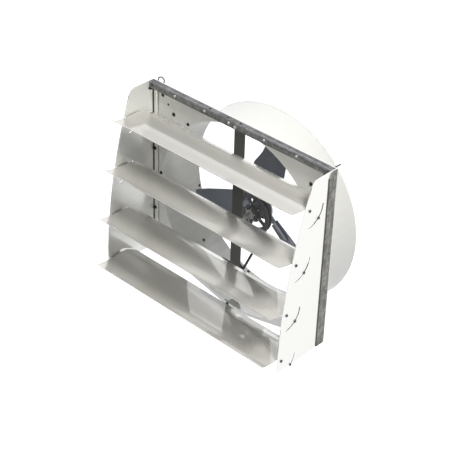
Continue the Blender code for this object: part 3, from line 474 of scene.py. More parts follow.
WHITE_PAINT = PaintedSheet(
    "white_paint", colour=(0.86, 0.855, 0.82), worn=(0.70, 0.67, 0.60), wear=0.10, smooth=0.34,
    rough=0.46)
LOUVRE_PAINT = DustyLouvre(
    "louvre_paint", colour=(0.83, 0.825, 0.79), worn=(0.62, 0.60, 0.55), wear=0.20, smooth=0.42,
    rough=0.56)
WHITE_PLASTIC = MouldedPlastic(
    "white_plastic", colour=(0.82, 0.815, 0.775), worn=(0.62, 0.59, 0.53), wear=0.16, smooth=0.36,
    rough=0.5)
DRUM_PLASTIC = MouldedPlastic(
    "drum_plastic", colour=(0.76, 0.758, 0.73), worn=(0.66, 0.64, 0.60), wear=0.12, smooth=0.34,
    rough=0.46)
BAR_ZINC = Galvanised(
    "bar_zinc", colour=(0.205, 0.205, 0.205), worn=(0.34, 0.345, 0.36), wear=0.45, smooth=0.45,
    rough=0.65, metallic=0.2, edge=0.0010, crystals=70.0, drawn=(0.03, 1, 1), line_scale=130.0)
# Lighter copy of the bar's zinc for its rolled ridges: painted highlight.
RIDGE_HIGHLIGHT_ZINC = Galvanised(
    "ridge_zinc_painted_highlight", colour=(0.36, 0.365, 0.375), worn=(0.46, 0.465, 0.48), wear=0.5, smooth=0.4,
    rough=0.55, metallic=0.25, edge=0.0006, crystals=120.0, drawn=(0.03, 1, 1), line_scale=130.0)
STRIP_ZINC = Galvanised(
    "strip_zinc", colour=(0.265, 0.258, 0.226), worn=(0.40, 0.395, 0.36), wear=0.6, smooth=0.5,
    rough=0.7, metallic=0.2, edge=0.0010, crystals=45.0, drawn=(1, 1, 0.12), line_scale=90.0)
DARK_STEEL = RoughMetal(
    "dark_steel", colour=(0.075, 0.073, 0.068), worn=(0.17, 0.165, 0.155), wear=0.35, smooth=0.5,
    rough=0.7, metallic=0.2)
CARRIER_STEEL = RoughMetal(
    "carrier_steel", colour=(0.155, 0.158, 0.172), worn=(0.24, 0.243, 0.255), wear=0.4, smooth=0.4,
    rough=0.55, metallic=0.35, edge=0.0008, grain=400.0, relief=0.2)
CAST_METAL = RoughMetal(
    "cast_metal", colour=(0.07, 0.07, 0.075), worn=(0.20, 0.20, 0.21), wear=0.35, smooth=0.42,
    rough=0.62, metallic=0.35, edge=0.0012, grain=700.0, relief=0.5)
ARM_METAL = RoughMetal(
    "arm_metal", colour=(0.38, 0.40, 0.45), worn=(0.50, 0.52, 0.56), wear=0.4, smooth=0.35,
    rough=0.5, metallic=0.25, edge=0.001, grain=300.0)
BRIGHT_STEEL = RoughMetal(
    "bright_steel", colour=(0.42, 0.42, 0.41), worn=(0.55, 0.55, 0.54), wear=0.5, smooth=0.28,
    rough=0.42, metallic=0.75, edge=0.0005, grain=250.0, relief=0.1)
EYE_STEEL = RoughMetal(
    "eye_steel", colour=(0.085, 0.09, 0.10), worn=(0.16, 0.165, 0.18), wear=0.4, smooth=0.35,
    rough=0.5, metallic=0.4, edge=0.0005, grain=250.0, relief=0.1)
PLATED_SCREW = RoughMetal(
    "plated_screw", colour=(0.55, 0.55, 0.53), worn=(0.34, 0.33, 0.31), wear=0.5, smooth=0.25,
    rough=0.4, metallic=0.8, edge=0.0004, grain=250.0, relief=0.1)
# Near-black finish for strips of painted shade in the corners and gaps beside the plates.
GAP_SHADE = RoughMetal(
    "gap_painted_shade", colour=(0.062, 0.060, 0.054), worn=(0.11, 0.105, 0.095), wear=0.5, smooth=0.6,
    rough=0.8, metallic=0.0, edge=0.0004, grain=300.0, relief=0.2)
# Near-black finish for the side plates' slot walls: painted shade inside the slots.
SLOT_SHADE = RoughMetal(
    "slot_painted_shade", colour=(0.09, 0.085, 0.075), worn=(0.16, 0.15, 0.13), wear=0.4, smooth=0.5,
    rough=0.7, metallic=0.3, edge=0.0004, grain=300.0, relief=0.2)
BLACK_BOLT = RoughMetal(
    "black_bolt", colour=(0.030, 0.030, 0.032), worn=(0.09, 0.09, 0.095), wear=0.4, smooth=0.35,
    rough=0.55, metallic=0.3, edge=0.0004, grain=250.0, relief=0.1)
GLAND_PLASTIC = RoughMetal(
    "gland_plastic", colour=(0.028, 0.028, 0.030), worn=(0.07, 0.07, 0.07), wear=0.4, smooth=0.45,
    rough=0.6, metallic=0.0, edge=0.0005, grain=900.0, relief=0.1)
MOTOR_ENAMEL = RoughMetal(
    "motor_enamel", colour=(0.14, 0.16, 0.19), worn=(0.22, 0.24, 0.27), wear=0.4, smooth=0.3,
    rough=0.45, metallic=0.1, edge=0.0008, grain=350.0, relief=0.15)
BLADE_COAT = BladeCoat(
    "blade_coat", colour=(0.205, 0.222, 0.265), worn=(0.29, 0.30, 0.33), wear=0.35, smooth=0.36,
    rough=0.5, metallic=0.15)
BELT = BeltRubber(
    "belt_rubber", colour=(0.022, 0.022, 0.024), worn=(0.06, 0.06, 0.06), wear=0.5, smooth=0.55,
    rough=0.8)


# Mesh tools


def ring_of(bm: bmesh.types.BMesh, radius: float, sides: int, along: float, turn: Matrix,
            phase: float = 0.0) -> list[bmesh.types.BMVert]:
    """Ring of points about an axis.

    Args:
        bm: Mesh that gets the points.
        radius: Radius of the ring.
        sides: Number of points.
        along: Place along the axis.
        turn: Matrix from the fastener's own frame, whose +Z points away from the seat.
        phase: Angle of the first point, in radians.

    Returns:
        The points in order.
    """
    step = 2 * math.pi / sides
    return [
        bm.verts.new(turn @ Vector((
            radius * math.cos(phase + step * n), radius * math.sin(phase + step * n), along)))
        for n in range(sides)]


def skin_rings(bm: bmesh.types.BMesh, rings: Sequence[list[bmesh.types.BMVert]]) -> None:
    """Faces between rings of as many points each, and over both ends.

    Args:
        bm: Mesh that gets the faces.
        rings: Rings of points in order.
    """
    for first, second in zip(rings, rings[1:]):
        count = len(first)
        for n in range(count):
            after = (n + 1) % count
            bm.faces.new((first[n], first[after], second[after], second[n]))
    bm.faces.new(rings[0][::-1])
    bm.faces.new(rings[-1])


def spun(bm: bmesh.types.BMesh, profile: Sequence[Pair], sides: int, turn: Matrix,
         phase: float = 0.0) -> None:
    """Turned form from pairs of a radius and a place along the axis."""
    skin_rings(bm, [ring_of(bm, radius, sides, along, turn, phase) for radius, along in profile])


def scaled(profile: Sequence[Pair], wide: float, high: float) -> list[Pair]:
    """Profile in shares, taken to its radius and height."""
    return [(wide * across, high * up) for across, up in profile]


def facing(seat: Place, way: Way) -> Matrix:
    """Frame at a seat whose +Z points along a way."""
    turn = Vector(way).to_track_quat("Z", "Y").to_matrix().to_4x4()
    return Matrix.Translation(Vector(seat)) @ turn


def slab(bm: bmesh.types.BMesh, outline: Sequence[Place], rise: Vector, inset: float,
         shoulder: float = 0.7) -> None:
    """Slab over a flat outline, with its far edge bevelled.

    Args:
        bm: Mesh that gets the slab.
        outline: Points of the outline.
        rise: From the outline to the far face.
        inset: How far the far edge is drawn in.
        shoulder: Share of the rise where the bevel begins.
    """
    middle = sum((Vector(point) for point in outline), Vector()) / len(outline)
    low = [bm.verts.new(point) for point in outline]
    edge = [bm.verts.new(Vector(point) + rise * shoulder) for point in outline]
    top = []
    for point in outline:
        inward = middle - Vector(point)
        top.append(bm.verts.new(Vector(point) + rise + inward.normalized() * inset))
    skin_rings(bm, [low, edge, top])


def smoothed(name: str, bm: bmesh.types.BMesh, degrees: float = 35.0) -> bpy.types.Object:
    """Turns a mesh under work into an object whose shading breaks at sharp edges.

    Args:
        name: Name of the object.
        bm: The mesh under work, which is freed.
        degrees: Angle from which an edge is sharp.

    Returns:
        The object, linked to the scene.
    """
    bmesh.ops.recalc_face_normals(bm, faces=bm.faces)
    mesh = bpy.data.meshes.new(name)
    bm.to_mesh(mesh)
    bm.free()
    mesh.shade_smooth()
    mesh.set_sharp_from_angle(angle=math.radians(degrees))
    made = bpy.data.objects.new(name, mesh)
    bpy.context.scene.collection.objects.link(made)
    return made


def fitted(made: bpy.types.Object, finish: Finish, body: str,
           stands_for: Sequence[str] = ()) -> None:
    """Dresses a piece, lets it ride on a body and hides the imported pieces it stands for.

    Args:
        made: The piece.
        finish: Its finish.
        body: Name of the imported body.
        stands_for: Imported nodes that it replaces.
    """
    made.data.materials.append(finish.material())
    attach(made, body)
    if stands_for:
        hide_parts(*stands_for)
    log.info("%s rides on %s", made.name, body)


@dataclass
class Dresser:
    """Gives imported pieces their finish, in place of the plain colour they came with."""

    finish: Finish
    nodes: tuple[str, ...]

    def dress(self) -> None:
        """Sets the finish on each piece."""
        for name in self.nodes:
            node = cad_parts[name]
            node.data.materials.clear()
            node.data.materials.append(self.finish.material())
            node.data.polygons.foreach_set("material_index", [0] * len(node.data.polygons))
            log.info("%s is dressed in %s", name, self.finish.name)


# Heads' profiles, in shares of the head's radius and height.
RIVET_DOME = ((1, 0), (0.95, 0.3), (0.7, 0.62), (0.3, 0.8))
PAN_DOME = ((1, 0), (0.98, 0.45), (0.8, 0.8), (0.45, 0.92), (0.40, 0.6), (0.1, 0.45))
WASHER = ((1.28, 0), (1.28, 0.8), (1.2, 1))
SCREW_END = ((1, 1), (1, 1.5), (0.8, 1.62))


@dataclass
class FastenerSet:
    """Group of alike small fasteners, sized from the radius of their shanks.

    head_share and height_share are the head's radius and height in shank radii. The washer, the
    hexagon's shoulder and its top are shares of the head.
    """

    name: str
    head: Head
    shank: float
    seats: list[tuple[Place, Way]]
    finish: Finish
    slot: str
    body: str = Body.HOUSING.value
    head_share: float = 2.15
    height_share: float = 1.35
    washer_share: float = 0.22
    hex_shoulder: float = 0.86
    hex_top: float = 0.88
    round_sides: int = 18
    pan_sides: int = 16
    dome_sides: int = 14
    end_sides: int = 10
    turn_step: float = 0.7

    def build(self) -> None:
        """Builds the group as one mesh and dresses it."""
        bm = bmesh.new()
        for index, (seat, way) in enumerate(self.seats):
            self.one(bm, facing(seat, way), self.turn_step * index)
        fitted(smoothed(self.name, bm), self.finish, self.body)

    def one(self, bm: bmesh.types.BMesh, turn: Matrix, phase: float) -> None:
        """Adds one fastener.

        Args:
            bm: Mesh that gets it.
            turn: Frame of its seat.
            phase: How far its flats are turned, in radians.
        """
        wide = self.shank * self.head_share
        high = self.shank * self.height_share
        if self.head is Head.RIVET:
            spun(bm, scaled(RIVET_DOME, wide, high), self.dome_sides, turn)
            return
        if self.head is Head.PAN:
            spun(bm, scaled(PAN_DOME, wide, high), self.pan_sides, turn)
            return
        washer = high * self.washer_share
        spun(bm, scaled(WASHER, wide, washer), self.round_sides, turn)
        hexagon = [(wide, washer), (wide, high * self.hex_shoulder), (wide * self.hex_top, high)]
        spun(bm, hexagon, 6, turn, phase)
        if self.head is Head.NUT:
            spun(bm, scaled(SCREW_END, self.shank, high), self.end_sides, turn)


# Sub-assemblies

# Pivot of each louvre along Y and Z, and how far the louvre is tilted, in degrees.
LOUVRE_PLACES: tuple[tuple[Pair, float], ...] = (
    ((-0.18237, -0.1195), 0.0), ((-0.24521, -0.3529), -5.0), ((-0.28499, -0.5863), -2.0),
    ((-0.30172, -0.8197), 3.0))


@dataclass
class HangingFrame:
    """Galvanised bar and strips with screws, wing nuts, gussets and strips of painted shade near them.
    """

    width: float = 1.05
    bar_front: float = -0.0571
    bar_top: float = 0.012
    bar_rear: float = -0.0296
    screw_shares: tuple[float, ...] = (-0.342, -0.172, -0.038, 0.152, 0.320)
    screw_height: float = -0.0015
    screw_shank: float = 0.0030
    knob_shares: tuple[float, ...] = (-0.152, -0.054, 0.014)
    knob_shank: float = 0.0015
    ridge_high: float = 0.0018
    ridge_half: float = 0.0024
    ridge_short: float = 0.0085
    ridge_inset: float = 0.0035
    ridge_section: tuple[Pair, ...] = ((-1, 0), (-0.6, 0.45), (0.6, 0.45), (1, 0))
    strip_front: float = -0.0713
    strip_bolt_heights: tuple[float, ...] = (-0.338, -0.660, -0.84)
    strip_bolt_shank: float = 0.0032
    wing_reach: float = 0.5090
    ear_stand: float = 0.0035
    ear_root: Pair = (0.0040, 0.0012)
    ear_root_wide: float = 0.0035
    ear_tip: Place = (0.0072, -0.0085, 0.0040)
    ear_tip_wide: float = 0.0020
    ear_thick: float = 0.0030
    ear_bevel: float = 0.0002
    plate_inner: float = 0.5187
    tab_outline: tuple[Pair, ...] = (
        (-0.0335, -0.0215), (-0.0335, -0.0360), (-0.0480, -0.0350), (-0.0600, -0.0290),
        (-0.0640, -0.0215))
    tab_sheet: float = 0.0022
    tab_bevel: float = 0.0006
    tab_nuts: tuple[Pair, ...] = ((-0.0545, -0.0245), (-0.0405, -0.0290))
    tab_nut_shank: float = 0.0024
    flange_front: float = -0.0327
    # Strip of painted shade in the corner between each plate and its flange.
    corner_shade_front: float = -0.0372
    corner_shade_wide: float = 0.0060
    painted_shade_low: float = -0.8700
    painted_shade_high: float = -0.0370
    plate_outer: float = 0.5217
    # Bead of painted shade along each side strip's front edge, outside the plate.
    edge_shade_high: float = -0.0180
    edge_shade_wide: float = 0.0062
    edge_shade_proud: float = 0.0022
    edge_shade_shoulder: float = 0.6

    def build(self) -> None:
        """Builds the frame's small pieces and dresses its imported ones."""
        Dresser(BAR_ZINC, ("frame_top_bar",)).dress()
        Dresser(STRIP_ZINC, ("frame_side_strip_left", "frame_side_strip_right")).dress()
        Dresser(EYE_STEEL, ("hanging_eye_left", "hanging_eye_right")).dress()
        self.bar_screws()
        self.bar_ridges()
        self.strip_bolts()
        self.corner_tabs()
        # Strip of painted shade in each plate's corner.
        self.corner_painted_shades()
        # Bead of painted shade along each side strip's front edge.
        self.strip_painted_shades()

    def bar_screws(self) -> None:
        """Plated screws on the bar's front and small dark ones on its top."""
        seats = [
            ((share * self.width, self.bar_front, self.screw_height), FRONT)
            for share in self.screw_shares]
        FastenerSet(
            "bar_screws", Head.PAN, self.screw_shank, seats, PLATED_SCREW, "bright_steel").build()
        middle = (self.bar_front + self.bar_rear) / 2
        seats = [((share * self.width, middle, self.bar_top), UP) for share in self.knob_shares]
        FastenerSet(
            "bar_top_screws", Head.HEX, self.knob_shank, seats, BLACK_BOLT, "black_bolt",
            head_share=2.7).build()

    def bar_ridges(self) -> None:
        """Rolled ridges, two along the bar's top and one on its front, in lighter zinc: painted
        highlight.
        """
        bm = bmesh.new()
        half = self.width / 2 - self.ridge_short
        inset = self.ridge_inset
        rows = [
            ((self.bar_front + inset, self.bar_top), UP), ((self.bar_rear - inset, self.bar_top), UP),
            ((self.bar_front, self.bar_top - inset), FRONT)]
        for (y, z), way in rows:
            out = Vector(way) * self.ridge_high
            side = Vector(REAR if way == UP else UP)
            rings = []
            for x in (-half, half):
                base = Vector((x, y, z))
                rings.append([
                    bm.verts.new(base + side * across * self.ridge_half + out * up)
                    for across, up in self.ridge_section])
            skin_rings(bm, rings)
        fitted(smoothed("bar_ridges", bm), RIDGE_HIGHLIGHT_ZINC, Body.HOUSING.value)

    def strip_bolts(self) -> None:
        """Bolts with wing nuts that hold each plate's flange and the strip behind it to the panel."""
        seats = [
            ((side * self.wing_reach, self.flange_front + SEATED, z), FRONT)
            for side in (-1, 1) for z in self.strip_bolt_heights]
        FastenerSet(
            "plate_flange_nuts", Head.NUT, self.strip_bolt_shank, seats, BLACK_BOLT,
            "black_bolt").build()
        bm = bmesh.new()
        root_out, root_up = self.ear_root
        tip_out, tip_ahead, tip_up = self.ear_tip
        for (x, y, z), _ in seats:
            for turn in (-1, 1):
                base = Vector((x, y - self.ear_stand, z))
                root = base + Vector((turn * root_out, 0, root_up))
                tip = base + Vector((turn * tip_out, tip_ahead, tip_up))
                outline = [
                    root, root + Vector((0, -self.ear_root_wide, 0)),
                    tip + Vector((0, -self.ear_tip_wide, 0)), tip]
                slab(bm, [tuple(point) for point in outline], Vector((0, 0, -self.ear_thick)),
                     self.ear_bevel)
        fitted(smoothed("plate_wing_ears", bm), BLACK_BOLT, Body.HOUSING.value)

    def corner_tabs(self) -> None:
        """Small dark gusset inside each plate's top rear corner, with its two nuts."""
        for side, hand in ((-1, "left"), (1, "right")):
            bm = bmesh.new()
            inner = side * (self.plate_inner - SEATED)
            points: list[Place] = [(inner, y, z) for y, z in self.tab_outline]
            slab(bm, points, Vector((-side * self.tab_sheet, 0, 0)), self.tab_bevel)
            fitted(smoothed(f"corner_tab_{hand}", bm), EYE_STEEL, Body.HOUSING.value)
            seats = [((inner - side * self.tab_sheet, y, z), (-side, 0, 0)) for y, z in self.tab_nuts]
            FastenerSet(
                f"corner_tab_nuts_{hand}", Head.NUT, self.tab_nut_shank, seats, BLACK_BOLT,
                "black_bolt").build()

    def strip_painted_shades(self) -> None:
        """Near-black bead along each side strip's front edge, outside the plate: painted gap shadow."""
        for side, hand in ((-1, "left"), (1, "right")):
            bm = bmesh.new()
            base = side * (self.plate_outer + SEATED)
            out = side * self.edge_shade_proud
            section = [
                (base, self.strip_front - self.edge_shade_wide),
                (base + out, self.strip_front - self.edge_shade_wide * self.edge_shade_shoulder),
                (base + out, self.strip_front - SEATED), (base, self.strip_front - SEATED)]
            skin_rings(bm, [
                [bm.verts.new((x, y, z)) for x, y in section] for z in (self.painted_shade_low, self.edge_shade_high)])
            fitted(smoothed(f"strip_painted_shade_{hand}", bm), GAP_SHADE, Body.HOUSING.value)

    def corner_painted_shades(self) -> None:
        """Near-black strip in the corner between each plate and its flange: painted shade."""
        for side, hand in ((-1, "left"), (1, "right")):
            bm = bmesh.new()
            inner = side * (self.plate_inner - SEATED)
            near, far = self.corner_shade_front, self.flange_front
            section = [(inner, near), (inner - side * self.corner_shade_wide, far), (inner, far)]
            skin_rings(bm, [
                [bm.verts.new((x, y, z)) for x, y in section] for z in (self.painted_shade_low, self.painted_shade_high)])
            fitted(smoothed(f"corner_painted_shade_{hand}", bm), GAP_SHADE, Body.HOUSING.value)


@dataclass
class Housing:
    """Moulded panel and drum with their bolts."""

    panel_front: float = -0.026
    drum_radius: float = 0.470
    flange_radius: float = 0.4785
    flange_rear: float = -0.0177
    flange_clock: float = 40.0
    flange_count: int = 8
    flange_nut_shank: float = 0.0024
    flange_bolt_shank: float = 0.0031
    corner_places: tuple[Pair, ...] = (
        (0.465, 0.061), (0.396, 0.132), (0.463, 0.822), (0.418, 0.792))
    corner_shank: float = 0.0034
    small_places: tuple[Pair, ...] = ((0.4305, 0.0955),)
    small_shank: float = 0.0019
    top: float = 0.012
    rivet_rows: tuple[tuple[int, int, float], ...] = ((45, 4, 0.114), (15, 6, 0.2047))
    rivet_shank: float = 0.0034
    rivet_sunk: float = 0.0003

    def build(self) -> None:
        """Dresses the panel and drum and adds their bolts."""
        Dresser(WHITE_PLASTIC, ("housing_panel",)).dress()
        Dresser(DRUM_PLASTIC, ("fan_drum",)).dress()
        for name, places, shank in (
                ("panel_bolts", self.corner_places, self.corner_shank),
                ("panel_screws", self.small_places, self.small_shank)):
            seats = [
                ((side * x, self.panel_front, self.top - drop), FRONT)
                for side in (-1, 1) for x, drop in places]
            FastenerSet(name, Head.HEX, shank, seats, BLACK_BOLT, "black_bolt").build()
        self.flange_bolts()
        self.wall_bolts()

    def flange_bolts(self) -> None:
        """Bolts through the panel and the drum's front flange, with their nuts behind."""
        seats = []
        for n in range(self.flange_count):
            angle = math.radians(self.flange_clock + 360 * n / self.flange_count)
            place = (self.flange_radius * math.cos(angle), self.flange_rear + SEATED,
                     FAN_AXIS_Z + self.flange_radius * math.sin(angle))
            seats.append((place, REAR))
        FastenerSet(
            "drum_flange_nuts", Head.NUT, self.flange_nut_shank, seats, PLATED_SCREW, "bright_steel",
            head_share=1.5).build()
        seats = [((x, self.panel_front, z), FRONT) for (x, _, z), _ in seats]
        FastenerSet(
            "drum_flange_bolts", Head.HEX, self.flange_bolt_shank, seats, BLACK_BOLT,
            "black_bolt").build()

    def wall_bolts(self) -> None:
        """Low rivets inside the drum, near its rear rim and halfway back."""
        seats = []
        for first, count, y in self.rivet_rows:
            for n in range(count):
                angle = math.radians(first + 360 * n / count)
                out = Vector((math.cos(angle), 0, math.sin(angle)))
                seat = Vector((0, y, FAN_AXIS_Z)) + out * (self.drum_radius - self.rivet_sunk)
                seats.append((tuple(seat), tuple(-out)))
        FastenerSet(
            "drum_wall_rivets", Head.RIVET, self.rivet_shank, seats, BLACK_BOLT, "black_bolt").build()


@dataclass
class SidePlates:
    """White side plates. Their slots' walls are painted near black: painted shade in the slots."""

    nodes: tuple[str, ...] = ("side_plate_left", "side_plate_right")
    slot_radius: float = 0.083
    slot_reach: float = 0.006
    wall_tilt: float = 0.5

    def build(self) -> None:
        """Dresses the plates."""
        Dresser(WHITE_PAINT, self.nodes).dress()
        for name in self.nodes:
            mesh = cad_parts[name].data
            # The slot walls take the near-black finish: painted shade inside the slots.
            mesh.materials.append(SLOT_SHADE.material())
            for face in mesh.polygons:
                if abs(face.normal.x) < self.wall_tilt and self.in_slot(face.center):
                    face.material_index = 1

    def in_slot(self, place: Vector) -> bool:
        """True where a place lies in one of the arc slots."""
        return any(
            abs(math.hypot(place.y - y, place.z - z) - self.slot_radius) < self.slot_reach
            for (y, z), _ in LOUVRE_PLACES)


@dataclass
class Louvre:
    """One louvre: a smooth cambered skin with a hemmed front edge, in place of the plain solid."""

    number: int
    pivot: Pair
    setting: float
    half_length: float = 0.5103
    chord: float = 0.244
    sheet: float = 0.0018
    profile: tuple[Pair, ...] = (
        (-0.4535, 0.1455), (-0.432, 0.118), (-0.380, 0.086), (-0.300, 0.064), (-0.190, 0.048),
        (-0.080, 0.041), (0.235, 0.038), (0.345, 0.018), (0.372, 0.006), (0.480, -0.058),
        (0.574, -0.115))
    lengths: int = 24
    steps: int = 4
    rear_round: float = 0.35
    nose_round: float = -0.12
    crease: float = 28.0

    def curve(self) -> list[Pair]:
        """Smooth line through the profile, from the front edge to the rear one.

        Returns:
            The line's points along Y and Z from the pivot, in metres.
        """
        points = [(across * self.chord, up * self.chord) for across, up in self.profile]
        fine: list[Pair] = []
        for n in range(len(points) - 1):
            a = points[max(n - 1, 0)]
            b, c = points[n], points[n + 1]
            d = points[min(n + 2, len(points) - 1)]
            for k in range(self.steps):
                t = k / self.steps
                # Cubic through b and c whose slopes there follow the neighbours a and d.
                fine.append(tuple(
                    0.5 * (2 * b[i] + (c[i] - a[i]) * t
                           + (2 * a[i] - 5 * b[i] + 4 * c[i] - d[i]) * t ** 2
                           + (3 * b[i] - a[i] - 3 * c[i] + d[i]) * t ** 3)
                    for i in range(2)))
        fine.append(points[-1])
        return fine

    def section(self) -> list[Pair]:
        """Closed section of the sheet, with rounded edges.

        Returns:
            The upper line's points, then the lower line's back to the front.
        """
        upper = self.curve()
        lower = []
        runs = []
        for n, point in enumerate(upper):
            before, after = upper[max(n - 1, 0)], upper[min(n + 1, len(upper) - 1)]
            run = Vector((after[0] - before[0], after[1] - before[1])).normalized()
            runs.append(run)
            lower.append((point[0] + run.y * self.sheet, point[1] - run.x * self.sheet))
        tip = runs[-1] * self.sheet * self.rear_round
        nose = runs[0] * self.sheet * self.nose_round
        rear = ((upper[-1][0] + lower[-1][0]) / 2 + tip.x, (upper[-1][1] + lower[-1][1]) / 2 + tip.y)
        front = ((upper[0][0] + lower[0][0]) / 2 + nose.x, (upper[0][1] + lower[0][1]) / 2 + nose.y)
        return upper + [rear] + lower[::-1] + [front]

    def build(self) -> None:
        """Builds the skin and dresses the louvre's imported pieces."""
        name = f"louvre_{self.number}"
        body = louvre_body(self.number)
        tilt = Matrix.Rotation(math.radians(self.setting), 4, "X")
        turn = Matrix.Translation((0, *self.pivot)) @ tilt
        section = self.section()
        bm = bmesh.new()
        rings = []
        for n in range(self.lengths + 1):
            x = self.half_length * (2 * n / self.lengths - 1)
            rings.append([bm.verts.new(turn @ Vector((x, y, z))) for y, z in section])
        skin_rings(bm, rings)
        skin = smoothed(name + "_skin", bm, self.crease)
        fitted(skin, LOUVRE_PAINT, body, [name])
        for finish, kind in (
                (BRIGHT_STEEL, "bracket"), (BLACK_BOLT, "pivot_bolt"), (BLACK_BOLT, "lock_bolt")):
            Dresser(finish, (f"{name}_{kind}_left", f"{name}_{kind}_right")).dress()


@dataclass
class StrutAndShaft:
    """Centre strut with the shaft's carrier and its bolts."""

    carrier_rear: float = -0.0200
    strut_front: float = -0.0293
    bolt_across: float = 0.030
    bolt_up: float = 0.146
    bolt_shank: float = 0.0028
    bolt_head: float = 1.8

    def build(self) -> None:
        """Dresses the strut and shaft and adds the carrier's bolts."""
        Dresser(DARK_STEEL, ("centre_strut",)).dress()
        Dresser(CARRIER_STEEL, ("shaft_carrier",)).dress()
        Dresser(BRIGHT_STEEL, (
            "fan_shaft", "shaft_nut", "bearing_front", "bearing_rear", "strut_bolt_top",
            "strut_bolt_foot")).dress()
        for name, head, y, way, finish in (
                ("carrier_nuts", Head.NUT, self.carrier_rear, REAR, PLATED_SCREW),
                ("carrier_bolts", Head.HEX, self.strut_front, FRONT, EYE_STEEL)):
            seats = [
                ((sx * self.bolt_across / 2, y, FAN_AXIS_Z + sz * self.bolt_up / 2), way)
                for sx in (-1, 1) for sz in (-1, 1)]
            FastenerSet(
                name, head, self.bolt_shank, seats, finish, "bright_steel",
                head_share=self.bolt_head).build()


@dataclass
class Propeller:
    """Spider, blades and their bolts, on the fan's body."""

    hub_bolts: int = 6
    hub_bolt_radius: float = 0.0435
    hub_bolt_shank: float = 0.0026
    hub_front: float = 0.1317
    cap_screw_radius: float = 0.0290
    cap_screw_shank: float = 0.0018
    cap_screw_clock: float = 20.0
    hub_face: float = 0.0560
    spokes: int = 5
    spoke_clock: float = 42.0
    boss_bolt_radius: float = 0.0400
    boss_bolt_shank: float = 0.0024
    web_face: float = 0.0775

    def build(self) -> None:
        """Dresses the propeller and adds its bolts."""
        Dresser(BLADE_COAT, tuple(f"fan_blade_{n}" for n in (1, 2, 3))).dress()
        Dresser(ARM_METAL, ("propeller_spider",)).dress()
        Dresser(CAST_METAL, ("fan_pulley",)).dress()
        self.ring(
            "hub_flange_bolts", self.hub_bolts, self.hub_bolt_radius, self.hub_front,
            self.hub_bolt_shank, 0.0)
        self.ring(
            "hub_face_screws", self.hub_bolts, self.cap_screw_radius, self.hub_face,
            self.cap_screw_shank, self.cap_screw_clock)
        self.ring(
            "pulley_boss_bolts", self.spokes, self.boss_bolt_radius, self.web_face,
            self.boss_bolt_shank, self.spoke_clock)

    def ring(self, name: str, count: int, radius: float, face: float, shank: float,
             first: float) -> None:
        """Ring of bolts that look to the front.

        Args:
            name: Name of the group.
            count: How many there are.
            radius: Radius of the ring.
            face: Where their seat lies along Y.
            shank: Radius of the shanks.
            first: Clock angle of the first bolt, in degrees.
        """
        seats = []
        for n in range(count):
            angle = math.radians(first + 360 * n / count)
            place = (radius * math.cos(angle), face, FAN_AXIS_Z + radius * math.sin(angle))
            seats.append((place, FRONT))
        FastenerSet(
            name, Head.HEX, shank, seats, PLATED_SCREW, "bright_steel", Body.FAN.value,
            head_share=1.7).build()


@dataclass
class Drive:
    """Belt, motor, its pulley, bracket, box and gland, with their screws."""

    axis: Pair = (-0.090, -0.8589)
    front_cap: float = -0.0526
    rear_cap: float = 0.0580
    cap_screws: int = 4
    screw_radius: float = 0.038
    screw_clock: float = 45.0
    screw_shank: float = 0.0020
    box_face: float = -0.1673
    box_middle: float = 0.0027
    box_half: Pair = (0.024, 0.020)
    box_shank: float = 0.0016

    def build(self) -> None:
        """Dresses the drive and adds its screws."""
        Dresser(BELT, ("drive_belt",)).dress()
        Dresser(CAST_METAL, ("motor_pulley",)).dress()
        Dresser(BRIGHT_STEEL, ("motor_shaft",)).dress()
        Dresser(DARK_STEEL, ("motor_bracket",)).dress()
        Dresser(MOTOR_ENAMEL, (
            "motor_body", "motor_front_cap", "motor_rear_cap", "motor_terminal_box")).dress()
        Dresser(GLAND_PLASTIC, ("motor_cable_gland",)).dress()
        self.screw_caps()
        self.screw_box()

    def screw_caps(self) -> None:
        """Long screws' heads on each end cap."""
        x, z = self.axis
        seats = []
        for n in range(self.cap_screws):
            angle = math.radians(self.screw_clock + 360 * n / self.cap_screws)
            off = Vector((math.cos(angle), 0, math.sin(angle))) * self.screw_radius
            seats.append(((x + off.x, self.front_cap, z + off.z), FRONT))
            seats.append(((x + off.x, self.rear_cap, z + off.z), REAR))
        FastenerSet(
            "motor_cap_screws", Head.HEX, self.screw_shank, seats, PLATED_SCREW,
            "bright_steel").build()

    def screw_box(self) -> None:
        """Four screws on the terminal box's lid."""
        across, up = self.box_half
        seats = [
            ((self.box_face, self.box_middle + sy * across, self.axis[1] + sz * up), (-1, 0, 0))
            for sy in (-1, 1) for sz in (-1, 1)]
        FastenerSet(
            "terminal_box_screws", Head.PAN, self.box_shank, seats, PLATED_SCREW,
            "bright_steel").build()


# Studio


@dataclass
class Lamp:
    """Soft lamp that looks at the fan."""

    name: str
    place: Place
    size: float
    power: float
    colour: Colour = (1.0, 1.0, 1.0)
    target: Place = (0.0, -0.1, -0.5)

    def build(self) -> None:
        """Hangs the lamp."""
        light = bpy.data.lights.new(self.name, "AREA")
        light.shape = "DISK"
        light.size = self.size
        light.energy = self.power
        light.color = self.colour
        lamp = bpy.data.objects.new(self.name, light)
        lamp.location = self.place
        aim = Vector(self.target) - Vector(self.place)
        lamp.rotation_euler = aim.to_track_quat("-Z", "Y").to_euler()
        bpy.context.scene.collection.objects.link(lamp)


